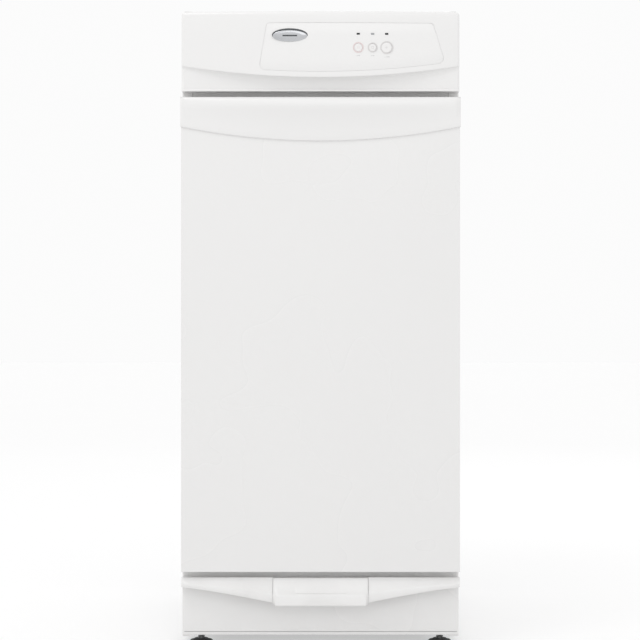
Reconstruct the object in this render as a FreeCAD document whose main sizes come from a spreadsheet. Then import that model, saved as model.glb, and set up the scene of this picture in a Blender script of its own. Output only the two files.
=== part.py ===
import FreeCAD, Part
import math
import os
import re
import Sketcher
from FreeCAD import Placement, Rotation, Vector

# Undercounter trash compactor.  Millimetres, +Z up, front faces -Y, +X to the right.
# Origin: middle of the footprint, on the floor.

doc = FreeCAD.newDocument("TrashCompactor")
sheet = doc.addObject("Spreadsheet::Sheet", "Dims")

SIZES = {
    # cabinet
    "cabinet_width": 379.4,
    "cabinet_height": 866.8,
    "cabinet_front": -270.0,
    "cabinet_rear": 305.0,
    "leg_height": 12.0,
    "sheet": 1.5,
    "flange": 14.0,
    "top_drop": 1.5,
    # base and press frame
    "base_bottom": 14.0,
    "base_wall_height": 36.0,
    "base_rail": 38.0,
    "plate_bottom": 50.0,
    "plate_thick": 5.0,
    "plate_front": -110.0,
    "upper_plate_drop": 28.8,
    "upper_plate_thick": 4.0,
    "upper_flange": 14.0,
    "frame_gap": 0.7,
    # drawer slide and container
    "drawer_back": -273.0,
    "drawer_thick": 22.0,
    "drawer_bottom": 102.7,
    "drawer_gap": 8.2,
    "drawer_edge_radius": 3.0,
    "front_sheet": 1.2,
    "handle_overhang": 1.0,
    "handle_crest": 12.0,
    "handle_end_proud": 4.0,
    "handle_drop_ends": 40.6,
    "handle_drop_middle": 59.9,
    "rail_gap": 10.0,
    "rail_width": 12.0,
    "rail_bottom": 104.0,
    "rail_height": 30.0,
    "rail_rear": 280.0,
    "bin_half": 118.0,
    "bin_front": -262.0,
    "bin_rear": 148.0,
    "bin_floor": 118.0,
    "bin_top_drop": 191.6,
    "bin_wall": 1.5,
    "roller_radius": 10.0,
    "roller_width": 8.0,
    "roll_gap": 0.3,
    "track_gap": 1.3,
    "track_depth": 6.2,
    "track_wall": 2.0,
    "roller_pin_radius": 3.0,
    "running_gap": 0.05,
    # ram and drive
    "screw_gap": 2.5,
    "screw_y": -57.0,
    "screw_radius": 8.0,
    "screw_end": 12.0,
    "screw_bottom": 22.0,
    "ram_side_gap": 9.5,
    "ram_end_gap": 10.5,
    "ram_above_bin": 32.0,
    "ram_plate_thick": 4.0,
    "ram_height": 210.0,
    "ram_wall": 2.5,
    "beam_height": 30.0,
    "beam_depth": 50.0,
    "nut_radius": 13.0,
    "nut_wall": 5.0,
    "nut_flange": 18.0,
    "sprocket_z": 34.0,
    "sprocket_thick": 4.0,
    "chain_pitch": 9.525,
    "sprocket_teeth": 12.0,
    "gear_x": 30.0,
    "gear_y": 225.0,
    "gear_module": 2.0,
    "gear_teeth": 60.0,
    "pinion_teeth": 12.0,
    "gear_bottom": 60.0,
    "gear_thick": 8.0,
    "bridge_top": 82.0,
    "bridge_thick": 4.0,
    "bridge_half": 100.0,
    "bridge_front": 165.0,
    "bridge_rear": 290.0,
    "motor_radius": 52.0,
    "motor_height": 130.0,
    "shaft_radius": 7.0,
    # console
    "console_height": 109.0,
    "console_depth": 20.0,
    "console_bulge": 10.0,
    "console_wall": 3.0,
    "console_corner": 5.0,
    "smile_rise": 34.8,
    "smile_sag": 16.1,
    "scoop_depth": 8.0,
    "lip_height": 3.0,
    "overlay_inset": 0.6,
    "overlay_thick": 1.0,
    "button_drop": 50.1,
    "button_left_x": 51.3,
    "button_middle_x": 70.8,
    "button_right_x": 90.0,
    "ring_left": 7.3,
    "ring_middle": 6.8,
    "ring_right": 8.8,
    "ring_width": 1.5,
    "button_gap": 0.3,
    "light_rise": 18.6,
    "badge_x": -41.5,
    "badge_rise": 16.9,
    "badge_half_width": 24.5,
    "badge_half_height": 9.0,
    # toe parts
    "toe_top": 94.5,
    "toe_ends": 81.5,
    "toe_middle": 61.0,
    "toe_proud": 2.0,
    "toe_back_gap": 4.0,
    "pad_half": 64.7,
    "pad_gap": 1.5,
    "pad_top": 86.0,
    "pad_bottom": 56.6,
    "pad_proud": 6.0,
    "pedal_pivot_y": -245.0,
    "pedal_pivot_z": 84.0,
    "pedal_pin_radius": 3.0,
    "toe_panel_top": 90.0,
    "toe_panel_bottom": 14.0,
    "toe_panel_notch": 66.0,
    "notch_half": 78.0,
    # rollers and legs that carry the cabinet
    "castor_radius": 14.0,
    "castor_x": 128.0,
    "castor_y": 246.0,
    "castor_width": 18.0,
    "castor_axle": 4.0,
    "leg_x": 165.0,
    "leg_y": -242.0,
    "leg_foot_radius": 16.0,
    "leg_stud_radius": 5.0,
    "leg_foot_height": 6.0,
    # fan and filter
    "fan_drop": 156.8,
    "fan_radius": 38.0,
    "filter_half": 66.0,
    "filter_front": 216.0,
}

# places that follow from the driving sizes
DERIVED = {
    "upper_plate": "cabinet_height - upper_plate_drop",
    "screw_top": "upper_plate + screw_end",
    "screw_x": "bin_half + rail_gap + rail_width + track_gap + track_depth + track_wall + screw_radius + screw_gap",
    "beam_half": "screw_x + nut_radius + nut_wall",
    "drawer_face": "drawer_back - drawer_thick",
    "console_bottom": "cabinet_height - console_height",
    "console_end": "cabinet_front - console_depth",
    "drawer_top": "console_bottom - drawer_gap",
    "bin_top": "drawer_top - bin_top_drop",
    "ram_rest": "bin_top + ram_above_bin",
    "smile_ends": "console_bottom + smile_rise",
    "smile_middle": "smile_ends - smile_sag",
    "button_z": "cabinet_height - button_drop",
    "light_z": "button_z + light_rise",
    "badge_z": "button_z + badge_rise",
    "toe_face": "drawer_face - toe_proud",
    "toe_back": "drawer_back - toe_back_gap",
    "pad_face": "toe_face - pad_proud",
    "toe_panel_y": "cabinet_front - sheet",
    "fan_z": "cabinet_height - fan_drop",
}


def fill_sheet():
    """Write every driving size into the spreadsheet, one named cell each."""
    for row, (name, value) in enumerate(SIZES.items(), start=1):
        cell = "A%d" % row
        sheet.set(cell, str(value))
        sheet.setAlias(cell, name)
    doc.recompute()


fill_sheet()


def size(name):
    """The value of a named size, driving or derived."""
    return value(name) if name in DERIVED else float(sheet.get(name))


def bound(expression):
    """Turn plain size names into references to the spreadsheet's cells."""
    def refer(word):
        name = word.group()
        if name in DERIVED:
            return "(" + bound(DERIVED[name]) + ")"
        return "Dims." + name if name in SIZES else name
    return re.sub(r"[a-z][a-z0-9_]*", refer, str(expression))


def value(expression):
    """Work out an expression of size names as a number, for starting geometry."""
    probe = doc.getObject("Probe") or doc.addObject("Part::Sphere", "Probe")
    probe.setExpression("Placement.Base.x", bound(expression))
    probe.recompute()
    return probe.Placement.Base.x


# ---------------------------------------------------------------- primitives

count = {"number": 0}


def fresh(prefix):
    """A unique internal name for a helper object."""
    count["number"] += 1
    return "%s%03d" % (prefix, count["number"])


def place(item, x, y, z):
    """Bind an object's position to three expressions."""
    for axis, expression in zip("xyz", (x, y, z)):
        item.setExpression("Placement.Base." + axis, bound(expression))


def block(x, y, z):
    """A box between pairs of expressions, such as ("-half", "half")."""
    item = doc.addObject("Part::Box", fresh("Block"))
    for side, (low, high) in zip(("Length", "Width", "Height"), (x, y, z)):
        item.setExpression(side, bound("(%s) - (%s)" % (high, low)))
    place(item, x[0], y[0], z[0])
    return item


TURNS = {
    "X": Rotation(Vector(0, 1, 0), 90),
    "Y": Rotation(Vector(1, 0, 0), -90),
    "Z": Rotation(),
}


def rod(axis, start, radius, length):
    """A cylinder that starts at three expressions and runs along +X, +Y or +Z."""
    item = doc.addObject("Part::Cylinder", fresh("Rod"))
    item.Placement = Placement(Vector(), TURNS[axis])
    item.setExpression("Radius", bound(radius))
    item.setExpression("Height", bound(length))
    place(item, *start)
    return item


def cone(axis, start, radius, end_radius, length):
    """A tapered cylinder along +X, +Y or +Z."""
    item = doc.addObject("Part::Cone", fresh("Cone"))
    item.Placement = Placement(Vector(), TURNS[axis])
    item.setExpression("Radius1", bound(radius))
    item.setExpression("Radius2", bound(end_radius))
    item.setExpression("Height", bound(length))
    place(item, *start)
    return item


def joined(*items):
    """One solid made of overlapping or touching pieces."""
    item = doc.addObject("Part::MultiFuse", fresh("Joined"))
    item.Shapes = list(items)
    item.Refine = True
    return item


def group(*items):
    """Separate solids kept in one node."""
    item = doc.addObject("Part::Compound", fresh("Group"))
    item.Links = list(items)
    return item


def cut(base, *tools):
    """A base with every tool taken away."""
    for tool in tools:
        item = doc.addObject("Part::Cut", fresh("Cut"))
        item.Base = base
        item.Tool = tool
        base = item
    return base


def shared(*items):
    """The space that all the pieces have in common."""
    item = doc.addObject("Part::MultiCommon", fresh("Shared"))
    item.Shapes = list(items)
    return item


def rounded(base, radius, choose):
    """Fillet the edges of a primitive that a test picks out."""
    doc.recompute()
    edges = [(n, value(radius), value(radius)) for n, edge in enumerate(base.Shape.Edges, 1) if choose(edge)]
    item = doc.addObject("Part::Fillet", fresh("Rounded"))
    item.Base = base
    item.Edges = edges
    return item


def mirrored(item):
    """The same piece on the other side of the middle plane."""
    other = doc.addObject("Part::Mirroring", fresh("Mirrored"))
    other.Source = item
    other.Normal = Vector(1, 0, 0)
    return other


def both_sides(item):
    """A piece and its mirror image as two solids of one node."""
    return group(item, mirrored(item))


NODES = []


def node(name, item):
    """Give a finished sub-part the label that names its file."""
    item.Label = name
    NODES.append(item)
    return item


# ------------------------------------------------------------ sketched bodies

def plane(body, role):
    """One of a body's own origin planes."""
    return next(item for item in body.Origin.OriginFeatures if item.Role == role)


def pin_point(sketch, edge, end, point):
    """Bind one sketch point to a pair of expressions."""
    for kind, expression in zip(("DistanceX", "DistanceY"), point):
        index = sketch.addConstraint(Sketcher.Constraint(kind, edge, end, value(expression)))
        sketch.setExpression("Constraints[%d]" % index, bound(expression))


def sketch_on(body, role, offset, points):
    """A closed outline.  A point may carry a third value: the rise of the arc that
    runs from it to the next point, positive to the left of that run."""
    sketch = body.newObject("Sketcher::SketchObject", fresh("Sketch"))
    sketch.AttachmentSupport = [(plane(body, role), "")]
    sketch.MapMode = "FlatFace"
    sketch.setExpression("AttachmentOffset.Base.z", bound(offset))
    places = [Vector(value(point[0]), value(point[1]), 0) for point in points]
    edges = []
    for index, point in enumerate(points):
        first, last = places[index], places[(index + 1) % len(points)]
        if len(point) == 3:
            run = last - first
            side = Vector(-run.y, run.x, 0).normalize()
            middle = (first + last) * 0.5 + side * value(point[2])
            edges.append(sketch.addGeometry(Part.Arc(first, middle, last), False))
        else:
            edges.append(sketch.addGeometry(Part.LineSegment(first, last), False))
    for index, point in enumerate(points):
        edge = edges[index]
        follower = edges[(index + 1) % len(points)]
        clockwise = len(point) == 3 and value(point[2]) > 0
        after = points[(index + 1) % len(points)]
        next_clockwise = len(after) == 3 and value(after[2]) > 0
        sketch.addConstraint(Sketcher.Constraint("Coincident", edge, 1 if clockwise else 2,
                                                 follower, 2 if next_clockwise else 1))
        pin_point(sketch, edge, 2 if clockwise else 1, point)
        if len(point) == 3:
            chord = "sqrt((%s - (%s))^2 + (%s - (%s))^2)" % (
                "(%s)" % after[0], point[0], "(%s)" % after[1], point[1])
            rise = "abs(%s)" % point[2]
            radius = "((%s)^2 / 4 + (%s)^2) / (2 * %s)" % (chord, rise, rise)
            fixed = sketch.addConstraint(Sketcher.Constraint("Radius", edge, value(radius)))
            sketch.setExpression("Constraints[%d]" % fixed, bound(radius))
    return sketch


def padded(role, offset, length, points, reverse=False):
    """A PartDesign body holding one padded outline."""
    body = doc.addObject("PartDesign::Body", fresh("Body"))
    sketch = sketch_on(body, role, offset, points)
    pad = body.newObject("PartDesign::Pad", fresh("Pad"))
    pad.Profile = sketch
    pad.Reversed = reverse
    pad.setExpression("Length", bound(length))
    doc.recompute()
    return body


def pocketed(body, role, offset, length, points, reverse=False):
    """Cut an outline out of a body, and make sure that it did cut."""
    before = body.Shape.Volume
    sketch = sketch_on(body, role, offset, points)
    pocket = body.newObject("PartDesign::Pocket", fresh("Pocket"))
    pocket.Profile = sketch
    pocket.Reversed = reverse
    pocket.setExpression("Length", bound(length))
    doc.recompute()
    if body.Shape.Volume > before - 1:
        raise RuntimeError("pocket in %s cuts nothing" % body.Name)
    return body


def rectangle(x, y):
    """The four corners between two pairs of expressions."""
    return [(x[0], y[0]), (x[1], y[0]), (x[1], y[1]), (x[0], y[1])]


# --------------------------------------------------------------------- cabinet

HALF = "cabinet_width / 2"
INNER = "cabinet_width / 2 - sheet"
COVER_TOP = "cabinet_height - top_drop"


def side_panel():
    """A folded steel side with its front, top and bottom returns."""
    front, rear, top = "cabinet_front", "cabinet_rear - sheet", COVER_TOP + " - sheet"
    wall = block((INNER, HALF), (front, rear), ("leg_height", top))
    front_return = block((INNER + " - flange / 2", INNER), (front, front + " + sheet"), ("leg_height", top))
    top_return = block((INNER + " - flange", INNER), (front, rear), (top + " - sheet", top))
    return joined(wall, front_return, top_return)


def side_panels():
    right = node("right_side_panel", side_panel())
    node("left_side_panel", mirrored(right))


def rear_panel():
    """The back: flat sheet with a vent grille, a gland hole and side returns."""
    sheet_part = block(("-(%s)" % INNER, INNER), ("cabinet_rear - sheet", "cabinet_rear"),
                       ("leg_height", COVER_TOP + " - sheet"))
    base = cut(sheet_part, rod("Y", (INNER + " - 30", "cabinet_rear - 10", "90"), "11", "20"))
    for index in range(9):
        low = "fan_z - 34 + %d * 8" % index
        base = cut(base, block(("-36", "36"), ("cabinet_rear - 10", "cabinet_rear + 10"), (low, low + " + 4")))
    node("rear_panel", base)


def top_cover():
    node("top_cover", block(("-(%s)" % HALF, HALF), ("cabinet_front", "cabinet_rear"),
                            (COVER_TOP + " - sheet", COVER_TOP)))


def base_frame():
    """A ring of angle steel with ears for the rear axle and holes for the legs."""
    edge = "%s - frame_gap" % INNER
    front, rear = "cabinet_front + 12", "cabinet_rear - 5"
    low, top = "base_bottom", "base_wall_height"
    outer = block(("-(%s)" % edge, edge), (front, rear), (low, top))
    hollow = block(("-(%s) + 2" % edge, edge + " - 2"), (front + " + 2", rear + " - 2"), (low + " + 2", top + " + 1"))
    opening = block(("-(%s) + base_rail" % edge, edge + " - base_rail"),
                    (front + " + base_rail", rear + " - base_rail"), (low + " - 1", low + " + 3"))
    ring = cut(outer, hollow, opening)
    ears = []
    for inner in ("castor_x + castor_width / 2 + 3", "castor_x - castor_width / 2 - 5"):
        ear = block((inner, inner + " + 2"), ("castor_y - 8", rear + " - base_rail + 1"), ("8", "base_wall_height - 4"))
        foot = block((inner, inner + " + 2"), (rear + " - base_rail", rear + " - 1"), (low, "base_wall_height - 4"))
        ears += [ear, foot, mirrored(ear), mirrored(foot)]
    ring = joined(ring, *ears)
    axle_hole = rod("X", ("-200", "castor_y", "castor_radius"), "castor_axle", "400")
    ring = cut(ring, axle_hole)
    for side in ("leg_x", "-leg_x"):
        ring = cut(ring, rod("Z", (side, "leg_y", low + " - 1"), "leg_stud_radius + 0.3", "6"))
    node("base_frame", ring)


def toe_panel():
    """The lower front plate: notched for the pedal arms, with a hem along its foot."""
    edge = "%s - 0.7" % HALF
    inboard = "%s - flange - 2" % HALF
    body = padded("XZ_Plane", "-toe_panel_y", "sheet", [
        ("-(%s)" % edge, "toe_panel_bottom"), (edge, "toe_panel_bottom"), (edge, "toe_panel_top"), ("notch_half", "toe_panel_top"),
        ("notch_half", "toe_panel_notch"), ("-notch_half", "toe_panel_notch"),
        ("-notch_half", "toe_panel_top"), ("-(%s)" % edge, "toe_panel_top")])
    hem = block(("-(%s)" % inboard, inboard), ("toe_panel_y", "toe_panel_y + 6"),
                ("toe_panel_bottom", "toe_panel_bottom + 1.5"))
    tab = block((inboard + " - 20", inboard), ("toe_panel_y", "cabinet_front + 12"), ("20", "34"))
    node("toe_panel", joined(body, hem, tab, mirrored(tab)))


def lower_frame():
    """The press frame's lower plate, which takes the pull of the power screws."""
    edge = "%s - frame_gap" % INNER
    plate = block(("-(%s)" % edge, edge), ("plate_front", "bridge_rear"), ("plate_bottom", "plate_bottom + plate_thick"))
    skirt = block((edge + " - 3", edge), ("plate_front", "bridge_rear"), ("base_wall_height", "plate_bottom"))
    plate = joined(plate, skirt, mirrored(skirt))
    for side in ("screw_x", "-screw_x"):
        plate = cut(plate, rod("Z", (side, "screw_y", "plate_bottom - 1"), "screw_radius + 0.5", "plate_thick + 2"))
    node("lower_frame", cut(plate, rod("Z", ("gear_x", "gear_y", "plate_bottom - 1"), "11", "plate_thick + 2")))


def upper_frame():
    """The press frame's upper channel, which steadies the tops of the screws."""
    edge = "%s - frame_gap" % INNER
    front, rear = "screw_y - 45", "screw_y + 45"
    top = "upper_plate + upper_plate_thick"
    plate = block(("-(%s)" % edge, edge), (front, rear), ("upper_plate", top))
    lips = [block(("-(%s)" % edge, edge), (low, low + " + 3"), (top, "upper_plate + upper_flange"))
            for low in (front, rear + " - 3")]
    plate = joined(plate, *lips)
    for side in ("screw_x", "-screw_x"):
        plate = cut(plate, rod("Z", (side, "screw_y", "upper_plate - 1"), "13", "upper_plate_thick + 2"))
    node("upper_frame", plate)


def shaft_bearings():
    """Thrust bearings under the lower plate, and plain bushings for the screws and the gear."""
    bore = "screw_radius + running_gap"
    bearings, bushings = [], []
    for side in ("screw_x", "-screw_x"):
        race = rod("Z", (side, "screw_y", "sprocket_z + sprocket_thick + 3"), "17",
                   "plate_bottom - sprocket_z - sprocket_thick - 3")
        bearings.append(cut(race, rod("Z", (side, "screw_y", "30"), bore, "40")))
        sleeve = joined(rod("Z", (side, "screw_y", "upper_plate"), "13", "upper_plate_thick"),
                        rod("Z", (side, "screw_y", "upper_plate + upper_plate_thick"), "16", "4"))
        bushings.append(cut(sleeve, rod("Z", (side, "screw_y", "upper_plate - 5"), bore, "30")))
    for low, height in (("plate_bottom", "plate_thick"), ("bridge_top - bridge_thick", "bridge_thick")):
        bushings.append(cut(rod("Z", ("gear_x", "gear_y", low), "11", height),
                            rod("Z", ("gear_x", "gear_y", "0"), "shaft_radius + running_gap", "120")))
    node("shaft_bearings", group(*(bearings + bushings)))


def drawer_tracks():
    """Channels beside the drawer: the rear rollers run between their two lips."""
    inner = "bin_half + rail_gap + rail_width + track_gap"
    web = inner + " + track_depth"
    outer = web + " + track_wall"
    low = "rail_bottom + 2"
    lip_top = low + " + 1.5"
    upper_lip = lip_top + " + 2 * roller_radius + 2 * roll_gap"
    rear = "rail_rear + 8"
    pieces = [
        block((web, outer), ("bin_front + 4", rear), ("84", upper_lip + " + 1.5")),
        block((inner, outer), ("bin_front + 4", rear), (low, lip_top)),
        block((inner, outer), ("bin_front + 4", rear), (upper_lip, upper_lip + " + 1.5")),
        block((web, outer), ("plate_front", "bridge_rear - 4"), ("plate_bottom + plate_thick", "85")),
        block((web, outer), ("bin_front + 8", "bin_front + 40"), ("base_bottom + 2", "85")),
    ]
    track = joined(*pieces)
    node("drawer_tracks", group(track, mirrored(track), *front_roller_pins()))


def front_roller_pins():
    """Pins that carry the front rollers, riveted into the tracks."""
    inner = "bin_half + rail_gap + 0.5"
    web = "bin_half + rail_gap + rail_width + track_gap + track_depth"
    centre = "rail_bottom - roll_gap - roller_radius"
    head = rod("X", (inner + " - 2", "-240", centre), "5", "2")
    pin = rod("X", (inner, "-240", centre), "roller_pin_radius", "%s - (%s)" % (web, inner))
    return [joined(head, pin), mirrored(joined(head, pin))]


def front_rollers():
    """Two rollers under the front of the drawer's rails."""
    start = "bin_half + rail_gap + 1.5"
    centre = "rail_bottom - roll_gap - roller_radius"
    wheel = cut(rod("X", (start, "-240", centre), "roller_radius", "roller_width"),
                rod("X", (start + " - 1", "-240", centre), "roller_pin_radius + running_gap", "roller_width + 2"))
    node("front_rollers", both_sides(wheel))


def rear_rollers():
    """Two rollers on pins at the back of the drawer's rails."""
    outer = "bin_half + rail_gap + rail_width"
    centre = "rail_bottom + 3.5 + roll_gap + roller_radius"
    start = outer + " + 1.8"
    width = "track_depth - 1.5"
    wheel = cut(rod("X", (start, "rail_rear - 14", centre), "roller_radius", width),
                rod("X", (start + " - 1", "rail_rear - 14", centre), "roller_pin_radius + running_gap", "track_depth + 2"))
    node("rear_rollers", both_sides(wheel))


def rear_roller_pins():
    """The two pins riveted into the rails for the rear rollers."""
    outer = "bin_half + rail_gap + rail_width"
    centre = "rail_bottom + 3.5 + roll_gap + roller_radius"
    pin = rod("X", (outer + " - 1.5", "rail_rear - 14", centre), "roller_pin_radius", "track_depth + 2.3")
    return [pin, mirrored(pin)]


def castors():
    """Rear transport rollers on one axle."""
    wheel = cut(rod("X", ("castor_x - castor_width / 2", "castor_y", "castor_radius"), "castor_radius", "castor_width"),
                rod("X", ("castor_x - castor_width", "castor_y", "castor_radius"), "castor_axle + running_gap",
                    "2 * castor_width"))
    node("transport_rollers", both_sides(wheel))


def levelling_legs():
    """Threaded feet under the front corners, their fixed nuts and the rear rollers' axle."""
    def leg(side):
        foot = cone("Z", (side, "leg_y", "0"), "leg_foot_radius", "leg_foot_radius - 3", "leg_foot_height")
        stud = rod("Z", (side, "leg_y", "leg_foot_height"), "leg_stud_radius", "base_wall_height - leg_foot_height + 4")
        return joined(foot, stud)

    def nut(side):
        body = doc.addObject("Part::Prism", fresh("Nut"))
        body.Polygon = 6
        body.setExpression("Circumradius", bound("leg_stud_radius * 1.9"))
        body.setExpression("Height", bound("8"))
        place(body, side, "leg_y", "base_bottom + 2")
        return cut(body, rod("Z", (side, "leg_y", "base_bottom"), "leg_stud_radius + running_gap", "20"))

    node("left_levelling_leg", leg("-leg_x"))
    node("right_levelling_leg", leg("leg_x"))
    axle = rod("X", ("-castor_x - 18", "castor_y", "castor_radius"), "castor_axle", "2 * castor_x + 36")
    node("base_hardware", group(nut("-leg_x"), nut("leg_x"), axle))


side_panels()
rear_panel()
top_cover()
base_frame()
toe_panel()
lower_frame()
upper_frame()
shaft_bearings()
drawer_tracks()
front_rollers()
rear_rollers()
castors()
levelling_legs()


# ---------------------------------------------------------------------- drawer

DRAWER_HALF = "cabinet_width / 2 + 0.3"
PANEL_BACK = "drawer_face + drawer_thick"


def drawer_front():
    """The outer steel pan of the drawer front and the liner that closes its back."""
    edge = DRAWER_HALF
    slab = block(("-(%s)" % edge, edge), ("drawer_face", PANEL_BACK + " - 2"), ("drawer_bottom", "drawer_top - 2"))
    slab = rounded(slab, "drawer_edge_radius",
                   lambda line: abs(line.CenterOfMass.y - size("drawer_face")) < 0.01)
    hollow = block(("-(%s) + front_sheet" % edge, edge + " - front_sheet"),
                   ("drawer_face + drawer_edge_radius", PANEL_BACK),
                   ("drawer_bottom + front_sheet", "drawer_top - 2 - front_sheet"))
    node("drawer_front_panel", cut(slab, hollow))
    liner = block(("-(%s)" % edge, edge), (PANEL_BACK + " - 2", PANEL_BACK), ("drawer_bottom", "drawer_top - 2"))
    stiffener = block(("-120", "120"), ("drawer_face + drawer_edge_radius", PANEL_BACK + " - 2"),
                      ("drawer_bottom + 300", "drawer_bottom + 301.2"))
    node("drawer_liner", joined(liner, stiffener))


def drawer_handle():
    """The full-width pull: a smile-shaped moulding that overhangs the drawer face."""
    edge = DRAWER_HALF + " + handle_overhang"
    top = "drawer_top"
    ends, middle = "drawer_top - handle_drop_ends", "drawer_top - handle_drop_middle"
    crest = "drawer_face - handle_crest"
    outline = padded("XZ_Plane", "-(drawer_face)", "handle_crest", [
        ("-(%s)" % edge, ends, "-(handle_drop_middle - handle_drop_ends)"), (edge, ends), (edge, top),
        ("-(%s)" % edge, top)])
    side = padded("YZ_Plane", "-(%s)" % edge, "2 * (%s)" % edge, [
        ("drawer_face", middle + " - 1"), ("drawer_face - 2", middle + " - 1"),
        ("drawer_face - 3", ends, "-3"), (crest, top + " - 12", "-2"), (crest + " + 3", top), ("drawer_face", top)])
    plan = padded("XY_Plane", middle + " - 2", "handle_drop_middle + 4", [
        ("-(%s)" % edge, "drawer_face - handle_end_proud", "-(handle_crest - handle_end_proud)"),
        (edge, "drawer_face - handle_end_proud"), (edge, "drawer_face"), ("-(%s)" % edge, "drawer_face")])
    face = shared(outline, side, plan)
    cap = block(("-(%s)" % DRAWER_HALF, DRAWER_HALF), ("drawer_face", PANEL_BACK), (top + " - 2", top))
    node("drawer_handle", joined(face, cap))


def drawer_frame():
    """Channel rails, cross bars and the front plate that bolts to the drawer front."""
    inner = "bin_half + rail_gap"
    outer = inner + " + rail_width"
    low, high = "rail_bottom", "rail_bottom + rail_height"
    front = PANEL_BACK
    rail = cut(block((inner, outer), (front, "rail_rear"), (low, high)),
               block((inner + " - 1", outer + " - 1.5"), (front + " + 2", "rail_rear + 1"), (low + " + 1.5", high + " - 1.5")))
    plate = block(("-(%s)" % outer, outer), (front, front + " + 2"), (low, high + " + 60"))
    bars = [block(("-(%s) - 1" % inner, inner + " + 1"), (y, y + " + 40"), (low, low + " + 4"))
            for y in ("bin_front + 60", "bin_rear - 120")]
    pads = [block(("-bin_half + 8", "bin_half - 8"), (y, y + " + 40"), (low + " + 4", "bin_floor"))
            for y in ("bin_front + 60", "bin_rear - 120")]
    rear = block(("-(%s) - 1" % inner, inner + " + 1"), ("bin_rear + 4", "bin_rear + 8"), (low, high))
    frame = joined(rail, mirrored(rail), plate, rear, *(bars + pads))
    pins = rear_roller_pins()
    node("drawer_frame", group(cut(frame, *pins), *pins))


def container():
    """The waste bin: floor, front, rear and left walls with rolled top edges."""
    half, wall = "bin_half", "bin_wall"
    body = padded("XY_Plane", "bin_floor", "bin_top - bin_floor",
                  rectangle(("-bin_half", "bin_half - 2"), ("bin_front", "bin_rear")))
    pocketed(body, "XY_Plane", "bin_floor + bin_wall", "bin_top - bin_floor", rectangle(
        ("-%s + %s" % (half, wall), "%s + 5" % half), ("bin_front + bin_wall", "bin_rear - bin_wall")), reverse=True)
    rim = [block(("-bin_half - 3", "-bin_half"), ("bin_front", "bin_rear"), ("bin_top - 8", "bin_top")),
           block(("-bin_half - 3", "bin_half - 2"), ("bin_rear", "bin_rear + 3"), ("bin_top - 8", "bin_top")),
           block(("-bin_half - 3", "bin_half - 2"), ("bin_front - 3", "bin_front"), ("bin_top - 8", "bin_top"))]
    knuckles = [rod("Y", ("bin_half + 2", y, "bin_floor + 4"), "4", "20") for y in ("bin_front + 40", "bin_rear - 60")]
    ties = [block(("bin_half - 3", "bin_half + 2"), (y, y + " + 20"), ("bin_floor", "bin_floor + 1.5"))
            for y in ("bin_front + 40", "bin_rear - 60")]
    shell = joined(body, *(rim + knuckles + ties))
    pin_hole = rod("Y", ("bin_half + 2", "bin_front", "bin_floor + 4"), "2", "bin_rear - bin_front")
    node("container", cut(shell, pin_hole))


def container_side():
    """The right wall of the bin, hinged along its foot so that a full bag slides out."""
    centre = ("bin_half + 2", "bin_floor + 4")
    wall = block(("bin_half - 0.5", "bin_half + 1"), ("bin_front + 0.5", "bin_rear - 0.5"), ("bin_floor + 9", "bin_top"))
    rim = block(("bin_half + 1", "bin_half + 4"), ("bin_front + 0.5", "bin_rear - 0.5"), ("bin_top - 8", "bin_top"))
    loops = []
    for y in ("bin_front + 62", "bin_rear - 90", "bin_front + 180"):
        loops.append(rod("Y", (centre[0], y, centre[1]), "4", "24"))
        loops.append(block(("bin_half - 0.5", "bin_half + 1"), (y, y + " + 24"), (centre[1], "bin_floor + 10")))
    leaf = joined(wall, rim, *loops)
    bore = rod("Y", (centre[0], "bin_front", centre[1]), "2 + running_gap", "bin_rear - bin_front")
    node("container_side_panel", cut(leaf, bore))


def container_latch():
    """A flat lever on the bin's front that holds the side panel shut."""
    lever = padded("XZ_Plane", "-(bin_front - 4)", "3", [
        ("bin_half - 34", "bin_top - 30"), ("bin_half + 6", "bin_top - 26"), ("bin_half + 6", "bin_top - 12"),
        ("bin_half - 34", "bin_top - 14", "-5")])
    hub = rod("Y", ("bin_half - 28", "bin_front - 7", "bin_top - 22"), "9", "3")
    bore = rod("Y", ("bin_half - 28", "bin_front - 20", "bin_top - 22"), "2.5 + running_gap", "30")
    node("latch_lever", cut(joined(lever, hub), bore))
    pin = joined(rod("Y", ("bin_half - 28", "bin_front - 7.6", "bin_top - 22"), "2.5", "7.6"),
                 rod("Y", ("bin_half - 28", "bin_front - 9", "bin_top - 22"), "4.5", "1.4"),
                 rod("Y", ("bin_half - 28", "bin_front - 3.6", "bin_top - 22"), "5", "3.6"))
    hinge = rod("Y", ("bin_half + 2", "bin_front + 36", "bin_floor + 4"), "2", "bin_rear - bin_front - 72")
    node("container_pins", group(pin, hinge, *bag_studs()))


def bag_studs():
    """Studs near the rim that hold the bag's collar."""
    return [rod("Y", (x, y, "bin_top - 20"), "4", "3") for x in ("-80", "50") for y in ("bin_front - 3", "bin_rear")]


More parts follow.
